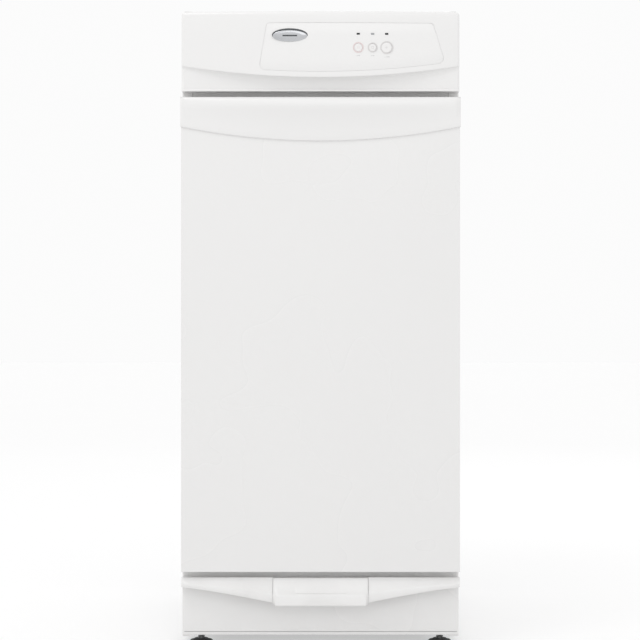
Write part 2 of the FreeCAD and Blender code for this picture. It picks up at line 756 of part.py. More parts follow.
def toe_bar():
    """The sloped bar under the drawer front, notched in the middle for the pedal."""
    edge = DRAWER_HALF
    gap = "pad_half + pad_gap"
    outline = padded("XZ_Plane", "-toe_back", "30", [
        ("-(%s)" % edge, "toe_ends", "-1.5"), ("-(%s)" % gap, "toe_middle"), ("-(%s)" % gap, "pad_top + pad_gap"),
        (gap, "pad_top + pad_gap"), (gap, "toe_middle", "-1.5"), (edge, "toe_ends"), (edge, "toe_top"),
        ("-(%s)" % edge, "toe_top")])
    side = padded("YZ_Plane", "-(%s)" % edge, "2 * (%s)" % edge, [
        ("toe_back", "toe_middle - 2"), ("toe_face + 4", "toe_middle - 2"), ("toe_face", "toe_middle + 8"),
        ("toe_face", "toe_ends - 4", "-1"), ("toe_back - 5", "toe_top"), ("toe_back", "toe_top")])
    ties = [block((x, x + " + 24"), ("toe_back - 3", PANEL_BACK + " + 2"), ("toe_top", "drawer_bottom - 3.2"))
            for x in ("-130", "106")]
    flange = block(("10 - %s" % HALF, "%s - 10" % HALF), (PANEL_BACK, PANEL_BACK + " + 2"), ("toe_top", "rail_bottom"))
    node("toe_bar", joined(shared(outline, side), flange, *ties))


def foot_pedal():
    """The pad in the middle of the toe bar with its two arms back to the pivot."""
    pad = padded("YZ_Plane", "-pad_half", "2 * pad_half", [
        ("toe_back - 2", "pad_bottom + 6"), ("pad_face + 3", "pad_bottom"), ("pad_face", "pad_bottom + 3"),
        ("pad_face", "pad_bottom + 16"), ("toe_back - 8", "pad_top"), ("toe_back - 2", "pad_top")])
    arms, hubs = [], []
    for x in ("pad_half - 14", "-pad_half + 4"):
        arms.append(block((x, x + " + 10"), ("toe_back - 4", "pedal_pivot_y"), ("pedal_pivot_z - 6", "pedal_pivot_z - 2")))
        arms.append(block((x, x + " + 10"), ("pedal_pivot_y - 6", "pedal_pivot_y"), ("pedal_pivot_z - 6", "pedal_pivot_z")))
        hubs.append(rod("X", (x, "pedal_pivot_y", "pedal_pivot_z"), "6", "10"))
    pedal = joined(pad, *(arms + hubs))
    node("foot_pedal", cut(pedal, rod("X", ("-100", "pedal_pivot_y", "pedal_pivot_z"),
                                      "pedal_pin_radius + running_gap", "200")))
    ears = [block((x, x + " + 2"), ("pedal_pivot_y - 8", "pedal_pivot_y + 8"), ("pedal_pivot_z - 7", "rail_bottom"))
            for x in ("pad_half - 2.5", "-pad_half + 0.5")]
    strap = block(("-pad_half - 2", "pad_half + 2"), (PANEL_BACK + " + 2", "pedal_pivot_y + 8"),
                  ("rail_bottom - 2", "rail_bottom"))
    brackets = joined(strap, *ears)
    pin = rod("X", ("-pad_half - 2", "pedal_pivot_y", "pedal_pivot_z"), "pedal_pin_radius", "2 * pad_half + 4")
    node("pedal_brackets", group(cut(brackets, pin), pin))


drawer_front()
drawer_handle()
drawer_frame()
container()
container_side()
container_latch()
toe_bar()
foot_pedal()


# --------------------------------------------------------------- ram and screws

BEAM_BOTTOM = "ram_rest + ram_height"
RAM_HALF = "bin_half - bin_wall - ram_side_gap"
RAM_FRONT = "bin_front + bin_wall + ram_end_gap"
RAM_REAR = "bin_rear - bin_wall - ram_end_gap"


def ram():
    """The press head: a wear plate under a welded box, hung from a cross beam."""
    plate = block(("-(%s)" % RAM_HALF, RAM_HALF), (RAM_FRONT, RAM_REAR), ("ram_rest", "ram_rest + ram_plate_thick"))
    node("ram_plate", plate)
    edge, front, rear = RAM_HALF + " - 6", RAM_FRONT + " + 8", RAM_REAR + " - 8"
    low = "ram_rest + ram_plate_thick"
    shell = cut(block(("-(%s)" % edge, edge), (front, rear), (low, BEAM_BOTTOM)),
                block(("-(%s) + ram_wall" % edge, edge + " - ram_wall"), (front + " + ram_wall", rear + " - ram_wall"),
                      (low + " + ram_wall", BEAM_BOTTOM + " + 1")))
    rib = block(("-(%s)" % edge, edge), ("screw_y - 2", "screw_y + 2"), (low, BEAM_BOTTOM))
    node("ram_body", joined(shell, rib))
    front, rear = "screw_y - beam_depth / 2", "screw_y + beam_depth / 2"
    top = BEAM_BOTTOM + " + beam_height"
    beam = cut(block(("-beam_half", "beam_half"), (front, rear), (BEAM_BOTTOM, top)),
               block(("-beam_half - 1", "beam_half + 1"), (front + " + 4", rear + " - 4"),
                     (BEAM_BOTTOM + " + 4", top + " - 4")))
    spacers = [rod("Z", (side, "screw_y", BEAM_BOTTOM), "nut_radius + nut_wall - 1.1", "beam_height") for side in ("screw_x", "-screw_x")]
    beam = joined(beam, *spacers)
    nuts = []
    for side in ("screw_x", "-screw_x"):
        beam = cut(beam, rod("Z", (side, "screw_y", BEAM_BOTTOM + " - 1"), "nut_radius", "beam_height + 2"))
        nut = joined(rod("Z", (side, "screw_y", BEAM_BOTTOM + " - 8"), "nut_radius", "beam_height + 8"),
                     rod("Z", (side, "screw_y", top), "nut_flange", "6"))
        nuts.append(cut(nut, rod("Z", (side, "screw_y", BEAM_BOTTOM + " - 20"), "screw_radius + running_gap", "80")))
    node("power_nuts", group(*nuts))
    glide = block(("beam_half", INNER + " - 0.5"), ("screw_y - 22", "screw_y + 22"),
                  (BEAM_BOTTOM + " + 3", top + " - 3"))
    node("ram_glides", both_sides(glide))
    bolts = []
    for x in ("-80", "-40", "40", "80"):
        for y in ("screw_y - 15", "screw_y + 15"):
            bolts.append(joined(rod("Z", (x, y, top), "6.5", "4.5"), cone("Z", (x, y, top + " + 4.5"), "6.5", "5.5", "0.8")))
    node("ram_crossbeam", group(beam, *bolts))


def gear_outline(teeth, module, pressure=20.0, backlash=0.3, relief=0.25):
    """The wire of an involute gear with a tooth centred on +X."""
    pitch = teeth * module / 2
    base = pitch * math.cos(math.radians(pressure))
    tip, root = pitch + module * 0.92, pitch - module * (1 + relief)
    angle = math.radians(pressure)
    half_tooth = math.pi / (2 * teeth) - backlash / (2 * pitch) + math.tan(angle) - angle
    points = []
    for tooth in range(int(teeth)):
        turn = 2 * math.pi * tooth / teeth
        flank = []
        start = max(base, root)
        for step in range(5):
            radius = start + (tip - start) * step / 4
            roll = math.sqrt(max((radius / base) ** 2 - 1, 0))
            flank.append((radius, half_tooth - (roll - math.atan(roll))))
        for radius, offset in [(root, flank[0][1])] + flank:
            points.append((radius, turn - offset))
        for radius, offset in flank[::-1] + [(root, flank[0][1])]:
            points.append((radius, turn + offset))
    corners = [Vector(r * math.cos(a), r * math.sin(a), 0) for r, a in points]
    return Part.makePolygon(corners + corners[:1])


def solid_feature(shape, position):
    """A feature that holds a shape made straight from the sheet's sizes."""
    item = doc.addObject("Part::Feature", fresh("Solid"))
    item.Shape = shape
    item.Placement = Placement(position, Rotation()).multiply(shape.Placement)
    return item


def sprocket_outline(teeth, pitch, roller=3.0):
    """The wire of a chain sprocket: rounded seats between blunt teeth."""
    radius = pitch / (2 * math.sin(math.pi / teeth))
    edges = []
    for tooth in range(int(teeth)):
        turn = 2 * math.pi * tooth / teeth
        step = math.pi / teeth

        def spot(r, a):
            return Vector(r * math.cos(turn + a), r * math.sin(turn + a), 0)
        seat = roller / radius
        low, tip = spot(radius, -seat), spot(radius, seat)
        edges.append(Part.Arc(low, spot(radius - roller, 0), tip).toShape())
        crown, crown_end = spot(radius + 2.2, step * 0.82), spot(radius + 2.2, step * 1.18)
        edges += [Part.LineSegment(tip, crown).toShape(), Part.LineSegment(crown, crown_end).toShape()]
        edges.append(Part.LineSegment(crown_end, spot(radius, 2 * step - seat)).toShape())
    return Part.Wire(Part.sortEdges(edges)[0])


def sprocket(x, y, bore):
    """One toothed wheel of the chain drive with its hub, bored for its shaft."""
    thick, z = size("sprocket_thick"), size("sprocket_z")
    wheel = Part.Face(sprocket_outline(size("sprocket_teeth"), size("chain_pitch"))).extrude(Vector(0, 0, thick))
    hub = Part.makeCylinder(12, thick + 2.5)
    wheel = wheel.fuse(hub).removeSplitter().cut(Part.makeCylinder(bore, 3 * thick, Vector(0, 0, -thick)))
    return solid_feature(wheel, Vector(x, y, z))


def power_screws():
    """Two long screws between plain journals, each with its sprocket and lock nut."""
    for name, side in (("left_power_screw", "-screw_x"), ("right_power_screw", "screw_x")):
        thread_low, thread_high = "plate_bottom + plate_thick + 12", "upper_plate - 2"
        shank = rod("Z", (side, "screw_y", "screw_bottom"), "screw_radius - 0.5", "screw_top - screw_bottom")
        journal = rod("Z", (side, "screw_y", "plate_bottom - 9"), "screw_radius", "plate_thick + 16")
        neck = rod("Z", (side, "screw_y", thread_high), "screw_radius", "14")
        thread = rod("Z", (side, "screw_y", thread_low), "screw_radius", "(%s) - (%s)" % (thread_high, thread_low))
        collar = rod("Z", (side, "screw_y", "plate_bottom + plate_thick + 1"), "screw_radius + 2", "8")
        screw = joined(shank, journal, neck, thread, collar)
        wheel = sprocket(value(side), size("screw_y"), size("screw_radius") - 0.5)
        nut = doc.addObject("Part::Prism", fresh("Nut"))
        nut.Polygon = 6
        nut.setExpression("Circumradius", bound("screw_radius + 6"))
        nut.setExpression("Height", bound("7"))
        place(nut, side, "screw_y", "sprocket_z - 7")
        nut = cut(nut, rod("Z", (side, "screw_y", "0"), "screw_radius - 0.5", "60"))
        node(name, group(screw, wheel, nut))


def drive_train():
    """The reduction gear on its shaft, the motor's pinion shaft and the chain."""
    module, bottom = size("gear_module"), size("gear_bottom")
    thick = size("gear_thick")
    centre = Vector(size("gear_x"), size("gear_y"), bottom)
    bore = Part.makeCylinder(size("shaft_radius"), thick * 4, Vector(0, 0, -thick))
    wheel = Part.Face(gear_outline(size("gear_teeth"), module)).extrude(Vector(0, 0, thick))
    windows = [Part.makeCylinder(11, thick * 3, Vector(36 * math.cos(a), 36 * math.sin(a), -thick))
               for a in [math.radians(60 * step + 30) for step in range(6)]]
    recess = Part.makeCylinder(52, 2, Vector(0, 0, thick - 2)).cut(Part.makeCylinder(16, 2, Vector(0, 0, thick - 2)))
    for tool in windows + [recess, bore]:
        wheel = wheel.cut(tool)
    node("drive_gear", solid_feature(wheel, centre))
    shaft = rod("Z", ("gear_x", "gear_y", "sprocket_z - 4"), "shaft_radius", "bridge_top - sprocket_z + 3")
    node("drive_sprocket", group(sprocket(centre.x, centre.y, size("shaft_radius")), shaft))
    teeth = size("pinion_teeth")
    spacing = module * (size("gear_teeth") + teeth) / 2
    motor_x = centre.x - spacing
    pinion = Part.Face(gear_outline(teeth, module)).extrude(Vector(0, 0, thick + 4))
    pinion.rotate(Vector(), Vector(0, 0, 1), 180 / teeth)
    shaft = Part.makeCylinder(6, size("motor_height") + 28, Vector(0, 0, thick + 4))
    node("motor_shaft", solid_feature(pinion.fuse(shaft), Vector(motor_x, centre.y, bottom - 2)))


MOTOR_X = "gear_x - gear_module * (gear_teeth + pinion_teeth) / 2"


def motor():
    """The motor on its bridge: mount, ribbed housing and end bell."""
    top = "bridge_top"
    deck = block(("-bridge_half", "bridge_half"), ("bridge_front", "bridge_rear"), (top + " - bridge_thick", top))
    leg = block(("bridge_half - 3", "bridge_half"), ("bridge_front", "bridge_rear"), ("plate_bottom + plate_thick", top))
    mount = joined(deck, leg, mirrored(leg))
    mount = cut(mount, rod("Z", ("gear_x", "gear_y", top + " - 10"), "11", "20"),
                rod("Z", (MOTOR_X, "gear_y", top + " - 10"), "18", "20"))
    node("motor_mount", mount)
    bore = rod("Z", (MOTOR_X, "gear_y", "0"), "6 + running_gap", "300")
    housing = joined(rod("Z", (MOTOR_X, "gear_y", top), "motor_radius", "motor_height - 22"),
                     rod("Z", (MOTOR_X, "gear_y", top), "motor_radius + 3", "6"))
    hollow = rod("Z", (MOTOR_X, "gear_y", top + " + 8"), "motor_radius - 3", "motor_height")
    housing = cut(housing, hollow, bore)
    bell = joined(rod("Z", (MOTOR_X, "gear_y", top + " + motor_height - 22"), "motor_radius", "8"),
                  cone("Z", (MOTOR_X, "gear_y", top + " + motor_height - 14"), "motor_radius", "motor_radius - 14", "14"))
    node("motor_housing", group(housing, cut(bell, bore)))


def drive_chain():
    """The roller chain round all three sprockets, as one closed band of its own outer size."""
    pitch_radius = size("chain_pitch") / (2 * math.sin(math.pi / size("sprocket_teeth")))
    wheels = [Vector(-size("screw_x"), size("screw_y"), 0), Vector(size("screw_x"), size("screw_y"), 0),
              Vector(size("gear_x"), size("gear_y"), 0)]

    def loop(radius):
        edges = []
        for index, centre in enumerate(wheels):
            before, after = wheels[index - 1], wheels[(index + 1) % 3]

            def outward(first, last):
                run = (last - first).normalize()
                return Vector(run.y, -run.x, 0) * radius
            start, end = centre + outward(before, centre), centre + outward(centre, after)
            middle = centre + (outward(before, centre) + outward(centre, after)).normalize() * radius
            edges.append(Part.Arc(start, middle, end).toShape())
            edges.append(Part.LineSegment(end, after + outward(centre, after)).toShape())
        return Part.Face(Part.Wire(edges))
    band = loop(pitch_radius + 5.4).cut(loop(pitch_radius + 2.6)).extrude(Vector(0, 0, 6.4))
    node("drive_chain", solid_feature(band, Vector(0, 0, size("sprocket_z") - 1.2)))


ram()
power_screws()
drive_train()
motor()
drive_chain()


# --------------------------------------------------------------------- console

def smile(edge, top, depth_start, depth):
    """A slab whose lower edge is the console's drooping curve."""
    return padded("XZ_Plane", depth_start, depth, [
        ("-(%s)" % edge, "smile_ends", "-(smile_ends - smile_middle)"), (edge, "smile_ends"), (edge, top),
        ("-(%s)" % edge, top)])


def bulged(edge, low, height, front, back, bulge="console_bulge"):
    """A slab whose front follows the console's bowed plan."""
    return padded("XY_Plane", low, height, [
        ("-(%s)" % edge, front, "-(%s)" % bulge), (edge, front), (edge, back), ("-(%s)" % edge, back)])


def console():
    """The bowed fascia: a hollow moulding with a scoop and a lip along its foot."""
    edge, low, top = HALF, "console_bottom", "cabinet_height"
    solid = bulged(edge, low, "cabinet_height - console_bottom", "console_end", "cabinet_front - 0.3")
    outline = rounded(block(("-(%s)" % edge, edge), ("console_end - 20", "cabinet_front - 0.3"), (low, top)),
                      "console_corner",
                      lambda line: abs(line.CenterOfMass.z - size("cabinet_height")) < 0.01
                      and abs(abs(line.CenterOfMass.x) - size("cabinet_width") / 2) < 0.01)
    body = shared(solid, outline)
    below = bulged(edge + " + 5", low + " + lip_height", "45", "console_end - 1", "console_end + scoop_depth")
    keep = smile(edge + " + 6", top, "250", "60")
    scoop = cut(below, keep)
    inner = HALF + " - console_wall"
    hollow = block(("-(%s)" % inner, inner), ("console_end + console_wall + scoop_depth", "cabinet_front + 5"),
                   (low + " + console_wall", top + " - console_wall"))
    upper = bulged(inner, "smile_ends + console_wall", "cabinet_height - smile_ends - 2 * console_wall",
                   "console_end + console_wall", "cabinet_front + 5")
    body = cut(body, scoop, hollow, upper)
    recess = shared(cut_zone(0), bulged(HALF, low, "cabinet_height - console_bottom",
                                        "console_end - 1", "console_end + overlay_inset + overlay_thick"))
    body = cut(body, recess)
    for x, radius in BUTTONS:
        body = cut(body, rod("Y", (x, "console_end - 20", "button_z"), radius, "40"))
    for x in ("button_left_x", "button_middle_x", "button_right_x"):
        body = cut(body, block((x + " - 2.4", x + " + 2.4"), ("console_end - 20", "console_end + 12"),
                               ("light_z - 1.4", "light_z + 1.4")))
    node("console_housing", body)


BUTTONS = (("button_left_x", "ring_left"), ("button_middle_x", "ring_middle"), ("button_right_x", "ring_right"))


def cut_zone(inset):
    """The outline of the control panel, shrunk by an inset, as a deep slab."""
    return padded("XZ_Plane", "-(console_end + 12)", "34", [
        ("-83 + %s" % inset, "smile_ends - 2.1 + %s" % inset, "-3.6"),
        ("168 - %s" % inset, "smile_ends + 10.4 + %s" % inset),
        ("154.6 - %s" % inset, "cabinet_height - 16.3 - %s" % inset),
        ("-74 + %s" % inset, "cabinet_height - 16.3 - %s" % inset)])


def controls():
    """The inset panel with its badge, lights, rings and push-buttons."""
    front = "console_end + overlay_inset"
    panel = shared(cut_zone(0.2), bulged(HALF, "console_bottom", "cabinet_height - console_bottom", front,
                                         front + " + overlay_thick - 0.02"))
    back_curve = bulged(HALF, "console_bottom", "cabinet_height - console_bottom", front + " + overlay_thick - 0.02",
                        "console_end + 40")
    panel = cut(panel, back_curve)
    rings, lenses = [], []
    for name, (x, radius) in zip(("left", "middle", "right"), BUTTONS):
        panel = cut(panel, rod("Y", (x, "console_end - 20", "button_z"), radius, "40"))
        curve = "console_end - console_bulge * (1 - (%s)^2 / (cabinet_width / 2)^2)" % x
        face = curve + " + overlay_inset"
        bore = radius + " - ring_width"
        ring = cut(rod("Y", (x, face + " - 0.8", "button_z"), radius, "6"),
                   rod("Y", (x, face + " - 5", "button_z"), bore, "20"))
        rings.append(ring)
        cap = rod("Y", (x, face + " - 0.4", "button_z"), bore + " - button_gap", "5")
        stem = rod("Y", (x, face + " + 4.6", "button_z"), "2.5", "5")
        node(name + "_button", joined(cap, stem))
        slot = block((x + " - 2.4", x + " + 2.4"), ("console_end - 20", "console_end + 12"),
                     ("light_z - 1.4", "light_z + 1.4"))
        panel = cut(panel, slot)
        lenses.append(block((x + " - 2.3", x + " + 2.3"), (face + " - 0.3", face + " + 5"),
                            ("light_z - 1.3", "light_z + 1.3")))
    node("control_overlay", group(panel, *rings))
    node("indicator_lenses", group(*lenses))
    face = "console_end - console_bulge * (1 - badge_x^2 / (cabinet_width / 2)^2) + overlay_inset"
    oval = doc.addObject("Part::Ellipsoid", fresh("Oval"))
    oval.Placement = Placement(Vector(), TURNS["Y"])
    oval.setExpression("Radius1", bound("2.2"))
    oval.setExpression("Radius2", bound("badge_half_width"))
    oval.setExpression("Radius3", bound("badge_half_height"))
    place(oval, "badge_x", face, "badge_z")
    behind_panel = bulged(HALF, "badge_z - 20", "40", front, "console_end + 40")
    node("badge", cut(oval, behind_panel))
    board = block(("30", "120"), ("cabinet_front - 8.6", "cabinet_front - 7"), ("button_z - 12.7", "button_z + 29.3"))
    chips = [block((x, x + " + 12"), ("cabinet_front - 7", "cabinet_front - 3"), (z, z + " + 8"))
             for x in ("40", "66", "92") for z in ("button_z - 6.7", "button_z + 11.3")]
    posts = [block((x, x + " + 5"), ("cabinet_front - 7", "cabinet_front - 1.9"), ("button_z + 3.3", "button_z + 9.3"))
             for x in ("31", "113")]
    node("control_board", joined(board, *(chips + posts)))


def console_bracket():
    """The steel rail across the cabinet's top front that carries the console."""
    edge = INNER + " - flange / 2 - 0.5"
    web = block(("-(%s)" % edge, edge), ("cabinet_front - 0.3 - sheet", "cabinet_front - 0.3"),
                ("console_bottom + 4", "cabinet_height - 8"))
    lower = block(("-(%s)" % edge, edge), ("cabinet_front - 0.3", "cabinet_front + 14"),
                  ("console_bottom + 4", "console_bottom + 5.5"))
    ends = block((edge + " - 12", INNER + " - 0.1"), ("cabinet_front + 1.6", "cabinet_front + 3.1"),
                 ("console_bottom + 4", "cabinet_height - 8"))
    tie = block((edge + " - 12", edge), ("cabinet_front - 0.3", "cabinet_front + 3"),
                ("console_bottom + 4", "cabinet_height - 8"))
    inboard = HALF + " - flange - 0.5"
    apron = block(("-(%s)" % inboard, inboard), ("cabinet_front - 0.3", "cabinet_front - 0.3 + sheet"),
                  ("console_bottom - 14", "console_bottom + 5.5"))
    rail = joined(web, lower, apron, ends, tie, mirrored(ends), mirrored(tie))
    loom_gap = block(("152", edge + " - 12.1"), ("cabinet_front - 5", "cabinet_front + 5"),
                     ("cabinet_height - 24.8", "cabinet_height"))
    node("console_bracket", cut(rail, loom_gap))


# ------------------------------------------------------- fan, filter, electrics

def air_filter():
    """The odour filter at the top of the back: case, charcoal pack, fan and its motor."""
    front, rear = "filter_front", "cabinet_rear - sheet"
    low, high = "fan_z - 58", "fan_z + 58"
    case = cut(block(("-filter_half", "filter_half"), (front, rear), (low, high)),
               block(("-filter_half + 2", "filter_half - 2"), (front + " - 1", rear + " + 1"), (low + " + 2", high + " - 2")))
    spider = block(("-filter_half + 1", "filter_half - 1"), (rear + " - 8", rear + " - 6"), ("fan_z - 5", "fan_z + 5"))
    grille = [block(("-filter_half + 1", "filter_half - 1"), (front, front + " + 2"), (z, z + " + 3"))
              for z in ("fan_z - 40", "fan_z - 20", "fan_z", "fan_z + 20", "fan_z + 40")]
    case = joined(case, spider, *grille)
    node("filter_housing", case)
    pack = block(("-filter_half + 3", "filter_half - 3"), (front + " + 3", front + " + 20"), (low + " + 3", high + " - 3"))
    node("charcoal_filter", pack)
    hub_start = front + " + 30"
    hub = rod("Y", ("0", hub_start, "fan_z"), "11", "14")
    blade = block(("9", "fan_radius"), (hub_start + " + 1", hub_start + " + 13"), ("fan_z - 0.9", "fan_z + 0.9"))
    blades = []
    for turn in range(7):
        item = doc.addObject("Part::Feature", fresh("Blade"))
        doc.recompute()
        shape = blade.Shape.copy()
        axis = Vector(0, size("filter_front") + 30, size("fan_z"))
        shape.rotate(axis, Vector(0, 1, 0), 360 / 7 * turn)
        item.Shape = shape
        blades.append(item)
    impeller = cut(joined(hub, *blades), rod("Y", ("0", front, "fan_z"), "3 + running_gap", "90"))
    node("fan_impeller", impeller)
    body = joined(rod("Y", ("0", hub_start + " + 16", "fan_z"), "20", rear + " - 8 - (%s + 16)" % hub_start),
                  rod("Y", ("0", hub_start + " - 2", "fan_z"), "3", "20"))
    node("fan_motor", body)


def switches():
    """The drawer interlock, the ram's upper limit switch and the drawer's magnet catch."""
    inner = "bin_half + rail_gap + rail_width + track_gap + track_depth + track_wall"
    body = block((inner, inner + " + 12"), ("bin_front + 34", "bin_front + 62"), ("90", "106"))
    plunger = rod("Y", (inner + " + 6", "bin_front + 26", "98"), "2", "10")
    interlock = joined(body, plunger)
    limit = block((INNER + " - 16", INNER + " - 0.1"), ("screw_y + 58", "screw_y + 86"),
                  ("upper_plate - 26", "upper_plate - 6"))
    arm = block((INNER + " - 22", INNER + " - 15"), ("screw_y + 60", "screw_y + 84"),
                ("upper_plate - 29", "upper_plate - 27.8"))
    stem = block((INNER + " - 17", INNER + " - 15"), ("screw_y + 70", "screw_y + 74"),
                 ("upper_plate - 29", "upper_plate - 23"))
    node("switches", group(interlock, joined(limit, arm, stem)))
    catch_front = "bin_rear + 10.5"
    foot = block(("45", "75"), (catch_front + " - 4", catch_front + " + 5.5"), ("plate_bottom + plate_thick", "58"))
    post = block(("45", "75"), (catch_front + " + 1", catch_front + " + 4"), ("plate_bottom + plate_thick", "128"))
    magnet = block(("48", "72"), (catch_front, catch_front + " + 4"), ("108", "126"))
    node("drawer_catch", joined(foot, post, magnet))


def wire(points, radius):
    """A held wire: straight runs joined by tangent arcs, swept with a round section."""
    edges, cursor = [], points[0]
    for before, corner, after in zip(points, points[1:], points[2:]):
        back, ahead = (before - corner).normalize(), (after - corner).normalize()
        turn = math.pi - back.getAngle(ahead)
        reach = 0.45 * min((before - corner).Length, (after - corner).Length)
        bend = reach / math.tan(turn / 2)
        start, end = corner + back * reach, corner + ahead * reach
        inward = (back + ahead).normalize()
        middle = corner + inward * (math.hypot(reach, bend) - bend)
        edges.append(Part.LineSegment(cursor, start).toShape())
        edges.append(Part.Arc(start, middle, end).toShape())
        cursor = end
    edges.append(Part.LineSegment(cursor, points[-1]).toShape())
    path = Part.Wire(edges)
    circle = Part.Wire(Part.makeCircle(radius, points[0], points[1] - points[0]))
    return path.makePipeShell([circle], True, False)


def wiring():
    """The loom from the controls along the roof to the motor, its clips and the gland."""
    side = size("cabinet_width") / 2 - size("sheet") - 5
    roof = size("cabinet_height") - size("top_drop") - size("sheet") - 6
    back = size("cabinet_rear") - size("sheet") - 6
    front, plug = size("cabinet_front"), size("button_z") + 21.3
    route = [Vector(120.5, front - 5, plug), Vector(150, front - 5, plug),
             Vector(165, front - 5, plug + 12), Vector(168, front + 18, roof),
             Vector(side - 8, front + 55, roof), Vector(side - 10, 0, roof),
             Vector(side - 10, back - 40, roof), Vector(side - 10, back - 2, roof - 40),
             Vector(side - 10, back - 2, 330), Vector(side - 20, back - 2, 240), Vector(90, back - 2, 205),
             Vector(40, size("gear_y") + 20, 200), Vector(12.5, size("gear_y") + 10, 175)]
    node("wiring_harness", solid_feature(wire(route, 2.5), Vector()))
    clips = []
    for y in (-120, 60, 200):
        clips.append(block((INNER + " - 30", INNER + " - 14.5"), (str(y), str(y) + " + 12"),
                           (COVER_TOP + " - sheet - 2.2", COVER_TOP + " - sheet - 0.1")))
    x, y = INNER + " - 30", "cabinet_rear - sheet"
    gland = joined(rod("Y", (x, y + " - 10", "90"), "10.9", "13.5"), rod("Y", (x, y + " + sheet", "90"), "14", "2"),
                   rod("Y", (x, y + " - 13", "90"), "14", "3"))
    gland = cut(gland, rod("Y", (x, "cabinet_rear - 40", "90"), "5", "80"))
    node("clips_and_cord_gland", group(gland, *clips))


def small_fasteners():
    """Screw heads on the back, the roof and inside the drawer front, and the pedal's spring."""
    heads = []
    for z in ("60", "320", "580", "cabinet_height - 26.8"):
        for x in (INNER + " - 7", "-(%s) + 7" % INNER):
            heads.append(joined(rod("Y", (x, "cabinet_rear", z), "4", "1.2"),
                                cone("Y", (x, "cabinet_rear + 1.2", z), "4", "3.2", "0.8")))
    node("rear_panel_screws", group(*heads))
    heads = []
    for x in ("-125", "125", "-60", "60"):
        heads.append(joined(rod("Y", (x, PANEL_BACK + " + 2", "180"), "5", "2"),
                            cone("Y", (x, PANEL_BACK + " + 4", "180"), "5", "4", "1")))
    strike = block(("46", "74"), ("bin_rear + 8", "bin_rear + 10"), ("106", "130"))
    node("drawer_screws_and_strike", group(strike, *heads))
    pitch, turns = 2.4, 6
    coil = Part.makeHelix(pitch, pitch * turns, size("pedal_pin_radius") + 1.6)
    section = Part.Wire(Part.makeCircle(0.8, Vector(size("pedal_pin_radius") + 1.6, 0, 0), Vector(0, 1, 0)))
    spring = Part.Wire(coil).makePipeShell([section], True, True)
    spring.rotate(Vector(), Vector(0, 1, 0), 90)
    node("pedal_spring", solid_feature(spring, Vector(-pitch * turns / 2, size("pedal_pivot_y"), size("pedal_pivot_z"))))


console()
controls()
console_bracket()
air_filter()
switches()
wiring()
small_fasteners()


# ---------------------------------------------------------------------- output

def check():
    """Stop on any failed feature or bad solid."""
    doc.recompute()
    for item in doc.Objects:
        if "Invalid" in item.State or "Error" in item.State:
            raise RuntimeError("%s (%s) failed: %s" % (item.Name, item.Label, item.State))
    for item in NODES:
        if item.Shape.isNull() or not item.Shape.isValid() or not item.Shape.Solids:
            raise RuntimeError("%s is not a valid solid" % item.Label)


def write():
    """Write each sub-part as its own STEP file."""
    os.makedirs("parts", exist_ok=True)
    for item in NODES:
        item.Shape.exportStep("parts/%s.step" % item.Label)
    print("%d nodes" % len(NODES))


check()
write()
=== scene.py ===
import math

import bmesh
import bpy
from bpy.props import FloatProperty, FloatVectorProperty, PointerProperty
from mathutils import Matrix, Vector


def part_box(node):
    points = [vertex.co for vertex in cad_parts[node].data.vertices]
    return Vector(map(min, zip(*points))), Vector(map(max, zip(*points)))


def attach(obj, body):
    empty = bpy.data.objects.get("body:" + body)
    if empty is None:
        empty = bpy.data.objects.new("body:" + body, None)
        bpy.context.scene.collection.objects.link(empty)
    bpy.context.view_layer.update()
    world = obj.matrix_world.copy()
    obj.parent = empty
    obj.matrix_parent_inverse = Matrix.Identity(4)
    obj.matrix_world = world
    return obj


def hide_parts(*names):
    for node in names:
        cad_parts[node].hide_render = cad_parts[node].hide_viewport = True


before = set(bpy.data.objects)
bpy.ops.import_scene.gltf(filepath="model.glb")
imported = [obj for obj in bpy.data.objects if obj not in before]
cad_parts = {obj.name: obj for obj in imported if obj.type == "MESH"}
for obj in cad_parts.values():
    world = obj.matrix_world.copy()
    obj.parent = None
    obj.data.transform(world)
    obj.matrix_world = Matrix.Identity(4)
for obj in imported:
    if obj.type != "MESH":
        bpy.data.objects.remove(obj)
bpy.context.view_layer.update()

bl_info = {
    "name": "Trash Compactor Builder",
    "version": (1, 0, 0),
    "blender": (4, 5, 0),
    "location": "View3D > Sidebar > Compactor",
    "description": "Builds the visible pieces of an undercounter trash compactor around its packed frame",
    "category": "Object",
}

MM = 0.001

# sizes that several pieces share
SHEET = 1.5 * MM
CHAIN_PITCH = 9.525 * MM
SPROCKET_TEETH = 12
SPROCKET_RADIUS = CHAIN_PITCH / (2 * math.sin(math.pi / SPROCKET_TEETH))


# ------------------------------------------------------------------ settings

class CompactorSizes(bpy.types.PropertyGroup):
    """Sizes of details that the frame leaves to the finish."""
    console_bow: FloatProperty(name="Console bow", description="How far the console's middle stands out",
                               default=10 * MM, unit="LENGTH")
    smile_ends: FloatProperty(
        name="Smile ends", description="Height of the console's lower curve at its ends",
        default=792.6 * MM, unit="LENGTH")
    smile_middle: FloatProperty(
        name="Smile middle", description="Height of the console's lower curve at its middle",
        default=776.5 * MM, unit="LENGTH")
    scoop_depth: FloatProperty(
        name="Scoop depth", description="How far the wall under the console lies behind the ends of its face",
        default=2.5 * MM, unit="LENGTH")
    handle_rise: FloatProperty(
        name="Handle edge", description="Step between the handle's lower edge and the drawer",
        default=2.4 * MM, unit="LENGTH")
    screw_lead: FloatProperty(name="Screw pitch", description="Distance between turns of the power screws",
                              default=8 * MM, unit="LENGTH")


